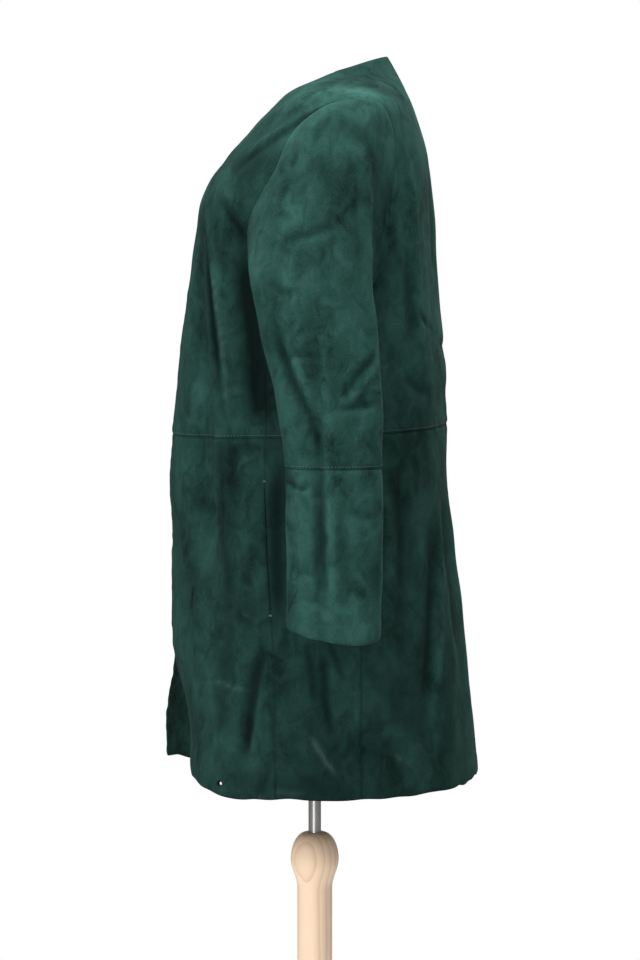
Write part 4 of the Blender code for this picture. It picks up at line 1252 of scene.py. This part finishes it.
def suede_material():
    """Brushed suede: cloudy nap, short fibres, a colour set by panel with painted shade and highlight, and
    pale marks of scuffed suede with painted highlight along the ridges.
    """
    if "suede_nap" in bpy.data.materials:
        return bpy.data.materials["suede_nap"]
    settings = bpy.context.scene.suede_coat
    material, tree, shader = new_material("suede_nap")
    plain = object_coordinates(tree)
    brushed = object_coordinates(tree, scale=(1.0, 1.0, 0.75))
    clouds = noise(tree, brushed, 15.0, 2.0, 0.45, 0.5)
    patches = noise(tree, brushed, 58.0, 2.0, 0.5, 0.9)
    fibres = noise(tree, plain, 620.0, 3.0, 0.7)
    shade = maths(tree, "SUBTRACT", weighted(tree, (clouds, 1.3), (patches, 0.9), (fibres, 0.7)), 0.96)
    # This attribute holds the panel tone, nap areas and the painted shade and highlight
    shade = maths(tree, "MULTIPLY", shade, attribute_value(tree, "tone"))
    shade = maths(tree, "MINIMUM", maths(tree, "MAXIMUM", shade, 0.0), 1.0)
    colour = mixed(tree, shade, settings.dark[:], settings.light[:])
    # Pale marks mixed in: rubbed suede, and painted highlight along the ridges
    specks = maths(tree, "MULTIPLY", attribute_value(tree, "rubbed"), maths(tree, "MULTIPLY", patches, 1.3))
    specks = maths(tree, "MINIMUM", specks, 1.0)
    tree.links.new(mixed(tree, specks, colour, settings.rubbed[:]), shader.inputs["Base Color"])
    set_inputs(shader, {"Roughness": 0.95, "Specular IOR Level": 0.06, "Sheen Weight": 0.05,
                        "Sheen Roughness": 0.45, "Sheen Tint": (0.30, 0.75, 0.62, 1.0)})
    height = maths(tree, "ADD", fibres, maths(tree, "MULTIPLY", patches, 1.2))
    bumped(tree, shader, height, 0.0009, 0.55)
    return material


def thread_material():
    """Twisted sewing thread."""
    material, tree, shader = new_material("green_thread")
    settings = bpy.context.scene.suede_coat
    fibres = noise(tree, object_coordinates(tree), 900.0, 3.0)
    dark = tuple(0.6 * value for value in settings.thread)
    tree.links.new(mixed(tree, fibres, dark, settings.thread[:]), shader.inputs["Base Color"])
    set_inputs(shader, {"Roughness": 0.7, "Sheen Weight": 0.1})
    bumped(tree, shader, fibres, 0.0002, 0.4)
    return material


def jersey_material():
    """Fine knitted cover of the form."""
    material, tree, shader = new_material("ecru_jersey")
    colour = bpy.context.scene.coat_stand.jersey
    place = object_coordinates(tree)
    ribs = bands(tree, place, {"bands_direction": "X"}, {"Scale": 210.0, "Distortion": 1.5, "Detail": 1.0})
    rows = bands(tree, place, {"bands_direction": "Z"}, {"Scale": 260.0})
    knit = maths(tree, "MULTIPLY", ribs, rows)
    blend = weighted(tree, (knit, 0.35), (noise(tree, place, 12.0, 4.0), 0.65))
    dark = tuple(0.78 * value for value in colour)
    tree.links.new(mixed(tree, blend, dark, colour[:]), shader.inputs["Base Color"])
    set_inputs(shader, {"Roughness": 0.9, "Sheen Weight": 0.15})
    bumped(tree, shader, knit, 0.0004, 0.5)
    return material


def pine_material():
    """Clear-coated pine with long arched grain."""
    if "turned_pine" in bpy.data.materials:
        return bpy.data.materials["turned_pine"]
    settings = bpy.context.scene.coat_stand
    material, tree, shader = new_material("turned_pine")
    board = object_coordinates(tree, scale=(1.0, 1.0, 0.10), place=(-0.085, 0.045, 0.0))
    rings = bands(tree, board, {"wave_type": "RINGS", "rings_direction": "Z", "wave_profile": "SAW"},
                  {"Scale": 34.0, "Distortion": 2.2, "Detail": 3.0, "Detail Scale": 1.4})
    pores = noise(tree, object_coordinates(tree, scale=(1.0, 1.0, 0.06)), 520.0, 3.0)
    cloud = noise(tree, board, 26.0, 3.0)
    late = weighted(tree, (maths(tree, "POWER", rings, 3.0), 0.62), (pores, 0.22), (cloud, 0.16))
    late = maths(tree, "SUBTRACT", late, 0.12)
    tree.links.new(mixed(tree, late, settings.pine[:], settings.grain[:]), shader.inputs["Base Color"])
    set_inputs(shader, {"Roughness": 0.48, "Coat Weight": 0.15, "Coat Roughness": 0.35})
    bumped(tree, shader, late, 0.0004, 0.25)
    return material


def steel_material():
    """Drawn steel with fine lines along the rod."""
    material, tree, shader = new_material("drawn_steel")
    colour = bpy.context.scene.coat_stand.steel
    lines = noise(tree, object_coordinates(tree, scale=(1.0, 1.0, 0.02)), 900.0, 4.0)
    bright = tuple(min(1.0, 1.35 * value) for value in colour)
    tree.links.new(mixed(tree, lines, colour[:], bright), shader.inputs["Base Color"])
    shader.inputs["Metallic"].default_value = 1.0
    roughness = maths(tree, "ADD", maths(tree, "MULTIPLY", lines, 0.18), 0.26)
    tree.links.new(roughness, shader.inputs["Roughness"])
    bumped(tree, shader, lines, 0.0002, 0.2)
    return material


def stitch_shape(settings):
    """Points and faces of one stitch along X, modelled from a small ball."""
    bpy.ops.object.select_all(action="DESELECT")
    bpy.ops.mesh.primitive_uv_sphere_add(segments=8, ring_count=6, radius=0.5)
    stitch = bpy.context.object
    bpy.ops.object.mode_set(mode="EDIT")
    bpy.ops.mesh.select_all(action="SELECT")
    bpy.ops.transform.resize(value=(settings.stitch_length, STITCH_WIDTH, STITCH_HEIGHT))
    bpy.ops.object.mode_set(mode="OBJECT")
    points = np.array([corner.co for corner in stitch.data.vertices])
    faces = [tuple(face.vertices) for face in stitch.data.polygons]
    mesh = stitch.data
    bpy.data.objects.remove(stitch)
    bpy.data.meshes.remove(mesh)
    return points, faces


def stitch_row(name, shape, places, material):
    """One piece of many stitches: each place is a middle, a direction, a normal and a stretch."""
    points, faces = shape
    all_points = []
    all_faces = []
    for middle, direction, normal, stretch in places:
        start = len(all_points) * len(points)
        across = np.cross(normal, direction)
        frame_of = np.stack([direction * stretch, across, normal])
        all_points.append(middle + points @ frame_of)
        all_faces.extend(tuple(corner + start for corner in face) for face in faces)
    mesh = bpy.data.meshes.new(name)
    mesh.from_pydata(np.concatenate(all_points).tolist(), [], all_faces)
    mesh.shade_smooth()
    mesh.materials.append(material)
    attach(linked(name, mesh), "root")


def line_beside(panel, border, distance):
    """Points and normals of a panel at a distance from its bottom or top edge."""
    grid = panel.outer if border == "bottom" else panel.outer[::-1]
    normals = panel.outer_normals if border == "bottom" else panel.outer_normals[::-1]
    lengths = run_lengths(grid)
    columns = range(grid.shape[1])
    line = [along_run(grid[:, column], lengths[:, column], distance) for column in columns]
    line_normals = [along_run(normals[:, column], lengths[:, column], distance) for column in columns]
    return np.array(line), np.array(line_normals)


def stitches_along(line, normals, pitch):
    """Middles, directions and normals of stitches along a line."""
    lengths = run_lengths(line)
    middles = np.arange(pitch, lengths[-1] - pitch / 2, pitch)
    places = along_run(line, lengths, middles)
    upright = unit(along_run(normals, lengths, middles))
    direction = along_run(line, lengths, middles + pitch / 4) - places
    direction = unit(direction - (direction * upright).sum(axis=-1, keepdims=True) * upright)
    return [(place, way, up, 1.0) for place, way, up in zip(places, direction, upright)]


def tack_places(panel, height, settings):
    """Stitches of a bar tack across the front-side seam at a height."""
    row = np.abs(panel.outer[:, -1, 2] - height).argmin()
    normal = panel.outer_normals[row, TACK_COLUMN]
    across = panel.outer[row, -1] - panel.outer[row, TACK_COLUMN]
    across = unit(across - (across @ normal) * normal)
    along_seam = np.cross(normal, across)
    middle = panel.outer[row, -1] + settings.seam_depth * normal
    offsets = (np.arange(TACK_STITCHES) - (TACK_STITCHES - 1) / 2) * TACK_PITCH
    stretch = TACK_LENGTH / settings.stitch_length
    return [(middle + offset * along_seam, across, normal, stretch) for offset in offsets]


def start_editing(piece, mode):
    """Make one piece the only selected one and edit its vertices, edges or faces."""
    bpy.ops.object.select_all(action="DESELECT")
    piece.select_set(True)
    bpy.context.view_layer.objects.active = piece
    bpy.ops.object.mode_set(mode="EDIT")
    bpy.ops.mesh.select_mode(type=mode)


def ring_stack(name, rings, sides):
    """A round piece made by extruding and scaling a circle from ring to ring of (radius, height)."""
    bpy.ops.object.select_all(action="DESELECT")
    radius, height = rings[0]
    bpy.ops.mesh.primitive_circle_add(vertices=sides, radius=radius, fill_type="NGON")
    piece = bpy.context.object
    piece.name = name
    piece.data.name = name
    start_editing(piece, "EDGE")
    bpy.ops.mesh.select_all(action="SELECT")
    bpy.ops.transform.translate(value=(0, 0, height))
    bpy.ops.mesh.select_mode(type="EDGE")
    for next_radius, next_height in rings[1:]:
        bpy.ops.mesh.extrude_edges_move(TRANSFORM_OT_translate={"value": (0, 0, next_height - height)})
        bpy.ops.transform.resize(value=(next_radius / radius, next_radius / radius, 1),
                                 center_override=(0, 0, next_height))
        radius, height = next_radius, next_height
    bpy.ops.mesh.edge_face_add()
    bpy.ops.mesh.select_all(action="SELECT")
    bpy.ops.mesh.normals_make_consistent(inside=False)
    bpy.ops.object.mode_set(mode="OBJECT")
    bpy.ops.object.shade_smooth_by_angle(angle=math.radians(STAND_SHARP_ANGLE))
    return piece


def stand_piece(piece, node, material):
    """Give a piece of the stand its material and tie it to its solid."""
    piece.data.materials.clear()
    piece.data.materials.append(material)
    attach(piece, "root")
    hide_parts(node)


def quarter_round(start, end, steps):
    """Points of a quarter of an ellipse that leaves its start level and reaches its end upright."""
    turns = np.linspace(0, np.pi / 2, steps + 1)
    radius = start[0] + (end[0] - start[0]) * np.sin(turns)
    height = end[1] + (start[1] - end[1]) * np.cos(turns)
    return list(zip(radius, height))


def soft_bend(start, end, steps):
    """Points between two radii that leave and reach them upright."""
    shares = np.linspace(0, 1, steps + 1)
    radius = start[0] + (end[0] - start[0]) * ease(shares)
    height = start[1] + (end[1] - start[1]) * shares
    return list(zip(radius, height))


class COAT_OT_upper_body(bpy.types.Operator):
    """Make the fronts, sides and back above the waist"""

    bl_idname = "coat.upper_body"
    bl_label = "Upper body"

    def execute(self, context):
        settings = context.scene.suede_coat
        panels = body_panels((front_upper, side_upper, back_upper), settings.spacing)
        finish_body(panels, settings, suede_material())
        return {"FINISHED"}


class COAT_OT_skirt(bpy.types.Operator):
    """Make the fronts, sides and back below the waist"""

    bl_idname = "coat.skirt"
    bl_label = "Skirt"

    def execute(self, context):
        settings = context.scene.suede_coat
        panels = body_panels((front_lower, side_lower, back_lower), settings.spacing)
        finish_body(panels, settings, suede_material())
        return {"FINISHED"}


class COAT_OT_sleeves(bpy.types.Operator):
    """Make the upper and lower sleeves"""

    bl_idname = "coat.sleeves"
    bl_label = "Sleeves"

    def execute(self, context):
        settings = context.scene.suede_coat
        for side, word in SIDES:
            grids = {make.__name__: make(settings.spacing) for make in (sleeve_upper, sleeve_lower)}
            cloud = np.concatenate([grid.reshape(-1, 3) for grid in grids.values()])
            creases = side_paths(cloud, SLEEVE_CREASES, side)
            marks = side_shades(cloud, SLEEVE_MARKS, side)
            shades = side_shades(cloud, SLEEVE_NAP_AND_PAINTED_LIGHT, side)
            mirror = np.array([side, 1, 1])
            for path in creases + marks + shades:
                path.points = path.points * mirror
            for kind, grid in grids.items():
                middle = grid[..., :2].reshape(-1, 2).mean(axis=0) * mirror[:2]
                panel = Panel(f"suede_{kind}_{word}", kind, grid * mirror, middle)
                piece = panel.finished(settings, creases, marks, shades)
                declare_cloth(panel, piece, panel.name.replace("suede_", "", 1), suede_material())
        return {"FINISHED"}


class COAT_OT_stitching(bpy.types.Operator):
    """Sew the rows above the waist and elbow seams and the bar tacks at the pockets"""

    bl_idname = "coat.stitching"
    bl_label = "Stitching"

    def execute(self, context):
        settings = context.scene.suede_coat
        if not PANELS:
            raise RuntimeError("make the panels of the coat before their stitching")
        material = thread_material()
        shape = stitch_shape(settings)
        waist = []
        for panel in PANELS.values():
            if panel.kind in ("front_upper", "side_upper", "back_upper"):
                seam = line_beside(panel, "bottom", STITCH_FROM_SEAM)
                waist += stitches_along(*seam, settings.stitch_pitch)
        stitch_row("waist_topstitch", shape, waist, material)
        for side, word in SIDES:
            seam = line_beside(PANELS[f"suede_sleeve_upper_{word}"], "top", STITCH_FROM_SEAM)
            elbow = stitches_along(*seam, settings.stitch_pitch)
            stitch_row(f"elbow_topstitch_{word}", shape, elbow, material)
            front = PANELS[f"suede_front_lower_{word}"]
            tacks = [place for height in POCKET_HEIGHTS for place in tack_places(front, height, settings)]
            stitch_row(f"pocket_tacks_{word}", shape, tacks, material)
        return {"FINISHED"}


class COAT_OT_dress_form(bpy.types.Operator):
    """Make the smooth limbless form, with its socket for the rod"""

    bl_idname = "coat.dress_form"
    bl_label = "Dress form"

    def execute(self, context):
        bpy.ops.object.select_all(action="DESELECT")
        bpy.ops.mesh.primitive_cylinder_add(vertices=FORM_SIDES, radius=1.0, depth=1.0, end_fill_type="NGON")
        form = context.object
        form.name = "jersey_form"
        start_editing(form, "EDGE")
        bpy.ops.mesh.select_all(action="DESELECT")
        bpy.ops.object.mode_set(mode="OBJECT")
        for edge in form.data.edges:
            ends = [form.data.vertices[corner].co.z for corner in edge.vertices]
            edge.select = abs(ends[0] - ends[1]) > 0.5
        bpy.ops.object.mode_set(mode="EDIT")
        bpy.ops.mesh.subdivide(number_cuts=FORM_CUTS)
        bpy.ops.object.mode_set(mode="OBJECT")
        corners = np.array([corner.co for corner in form.data.vertices])
        angles = np.degrees(np.arctan2(corners[:, 0], -corners[:, 1]))
        levels = (corners[:, 2] + 0.5) * (len(FORM_SECTIONS) - 1)
        points = torso_points(FORM_SECTIONS, (), angles, levels)
        form.data.vertices.foreach_set("co", points.astype(np.float32).ravel())
        form.data.update()
        rim = form.modifiers.new("rim", "BEVEL")
        rim.width = FORM_RIM
        rim.segments = FORM_RIM_STEPS
        rim.limit_method = "ANGLE"
        rim.angle_limit = math.radians(SHARP_ANGLE)
        bpy.ops.object.modifier_apply(modifier=rim.name)
        bpy.ops.object.select_all(action="DESELECT")
        bpy.ops.mesh.primitive_cylinder_add(vertices=ROD_SIDES, radius=ROD_RADIUS + FIT_GAP,
                                            depth=2 * ROD_IN_FORM,
                                            location=(0, 0, FORM_SECTIONS[0].height + FIT_GAP))
        cut_away(form, context.object)
        form.data.shade_smooth()
        form.data.set_sharp_from_angle(angle=math.radians(SHARP_ANGLE))
        stand_piece(form, "dress_form", jersey_material())
        return {"FINISHED"}


class COAT_OT_stand(bpy.types.Operator):
    """Make the steel rod, the turned pine post and the round base"""

    bl_idname = "coat.stand"
    bl_label = "Stand"

    def execute(self, context):
        bore = ROD_RADIUS + FIT_GAP
        bore_floor = POST_TOP - ROD_IN_POST
        low = bore_floor + FIT_GAP
        high = FORM_SECTIONS[0].height + ROD_IN_FORM
        rod = ring_stack("steel_rod", [(ROD_RADIUS - CHAMFER, low), (ROD_RADIUS, low + CHAMFER),
                                       (ROD_RADIUS, high - CHAMFER), (ROD_RADIUS - CHAMFER, high)], ROD_SIDES)
        stand_piece(rod, "stand_rod", steel_material())
        shaft = np.linspace(POST_NECK[1], BASE_HEIGHT + FIT_GAP, POST_SHAFT_STEPS)
        rings = [(bore, bore_floor), (bore, POST_TOP - CHAMFER), (bore + CHAMFER, POST_TOP)]
        rings += quarter_round((POST_RIM_RADIUS, POST_TOP), POST_BULGE, POST_STEPS)
        rings += soft_bend(POST_BULGE, POST_NECK, POST_STEPS)[1:]
        rings += [(POST_NECK[0], height) for height in shaft[1:]]
        post = ring_stack("pine_post", rings, POST_SIDES)
        stand_piece(post, "stand_post", pine_material())
        inner_edge = (BASE_RADIUS - BASE_ROUND, BASE_HEIGHT)
        outer_edge = (BASE_RADIUS, BASE_HEIGHT - BASE_ROUND)
        rings = [(BASE_RADIUS - CHAMFER, 0.0), (BASE_RADIUS, CHAMFER)]
        rings += quarter_round(inner_edge, outer_edge, BASE_STEPS)[::-1]
        base = ring_stack("pine_base", rings, BASE_SIDES)
        stand_piece(base, "stand_base", pine_material())
        return {"FINISHED"}


class COAT_OT_stage(bpy.types.Operator):
    """Make the floor, the lights, the surroundings and the camera"""

    bl_idname = "coat.stage"
    bl_label = "Stage"

    def execute(self, context):
        settings = context.scene.coat_stage
        bpy.ops.object.select_all(action="DESELECT")
        bpy.ops.mesh.primitive_circle_add(vertices=FLOOR_SIDES, radius=FLOOR_RADIUS, fill_type="NGON")
        floor = context.object
        floor.name = "studio_floor"
        material, tree, shader = new_material("pale_floor")
        pale = noise(tree, object_coordinates(tree), 3.0, 2.0)
        bright = tuple(min(1.0, 1.04 * value) for value in settings.floor)
        tree.links.new(mixed(tree, pale, settings.floor[:], bright), shader.inputs["Base Color"])
        shader.inputs["Roughness"].default_value = 0.8
        floor.data.materials.append(material)
        for light in LIGHTS:
            self.add_light(light, getattr(settings, light.setting))
        self.set_world(context.scene, settings.ambient)
        self.add_camera(context.scene)
        context.scene.view_settings.view_transform = "Standard"
        return {"FINISHED"}

    def add_light(self, light, power):
        """A square soft light aimed at the coat, no lower than itself."""
        data = bpy.data.lights.new(light.name, "AREA")
        data.size = light.size
        data.energy = power
        lamp = linked(light.name, data)
        lamp.location = light.place
        aim = Vector((0, 0, min(LIGHT_AIM_HEIGHT, light.place[2]))) - Vector(light.place)
        lamp.rotation_euler = aim.to_track_quat("-Z", "Y").to_euler()

    def set_world(self, scene, strength):
        """White surroundings that light the coat softly."""
        world = bpy.data.worlds.new("white_studio")
        world.use_nodes = True
        tree = world.node_tree
        seen = tree.nodes["Background"]
        set_inputs(seen, {"Color": (1, 1, 1, 1), "Strength": 1.0})
        lighting = tree.nodes.new("ShaderNodeBackground")
        set_inputs(lighting, {"Color": (1, 1, 1, 1), "Strength": strength})
        rays = tree.nodes.new("ShaderNodeLightPath")
        choice = tree.nodes.new("ShaderNodeMixShader")
        tree.links.new(rays.outputs["Is Camera Ray"], choice.inputs["Fac"])
        tree.links.new(lighting.outputs["Background"], choice.inputs[1])
        tree.links.new(seen.outputs["Background"], choice.inputs[2])
        tree.links.new(choice.outputs["Shader"], tree.nodes["World Output"].inputs["Surface"])
        scene.world = world

    def add_camera(self, scene):
        """The photograph's view: from the coat's left, a little downwards."""
        lens = bpy.data.cameras.new("side_camera")
        lens.sensor_fit = "VERTICAL"
        lens.sensor_height = SENSOR_HEIGHT
        lens.lens = CAMERA_FOCAL_PIXELS * SENSOR_HEIGHT / IMAGE_HEIGHT
        camera = linked("side_camera", lens)
        pitch = math.atan((IMAGE_HEIGHT / 2 - CAMERA_LEVEL_ROW) / CAMERA_FOCAL_PIXELS)
        camera.location = CAMERA_PLACE
        camera.rotation_euler = (math.pi / 2 - pitch, 0.0, math.pi / 2)
        scene.camera = camera


class COAT_PT_panel(bpy.types.Panel):
    """Buttons and settings of the coat"""

    bl_idname = "COAT_PT_panel"
    bl_label = "Suede coat"
    bl_space_type = "VIEW_3D"
    bl_region_type = "UI"
    bl_category = "Coat"

    def draw(self, context):
        layout = self.layout
        for group in (context.scene.suede_coat, context.scene.coat_stand, context.scene.coat_stage):
            box = layout.box()
            for name in group.__annotations__:
                box.prop(group, name)
        for operator in OPERATORS:
            layout.operator(operator.bl_idname)


SETTINGS = {"suede_coat": CoatSettings, "coat_stand": StandSettings, "coat_stage": StageSettings}
OPERATORS = (COAT_OT_upper_body, COAT_OT_skirt, COAT_OT_sleeves, COAT_OT_stitching, COAT_OT_dress_form,
             COAT_OT_stand, COAT_OT_stage)
CLASSES = (*SETTINGS.values(), *OPERATORS, COAT_PT_panel)


def register():
    for item in CLASSES:
        bpy.utils.register_class(item)
    for name, group in SETTINGS.items():
        setattr(bpy.types.Scene, name, PointerProperty(type=group))


def unregister():
    for name in SETTINGS:
        delattr(bpy.types.Scene, name)
    for item in reversed(CLASSES):
        bpy.utils.unregister_class(item)


def main():
    """Build the coat, its stand and the stage; each panel reckons its flat size and area as it is made."""
    register()
    bpy.ops.coat.upper_body()
    bpy.ops.coat.skirt()
    bpy.ops.coat.sleeves()
    bpy.ops.coat.stitching()
    bpy.ops.coat.dress_form()
    bpy.ops.coat.stand()
    bpy.ops.coat.stage()


if __name__ == "__main__":
    main()
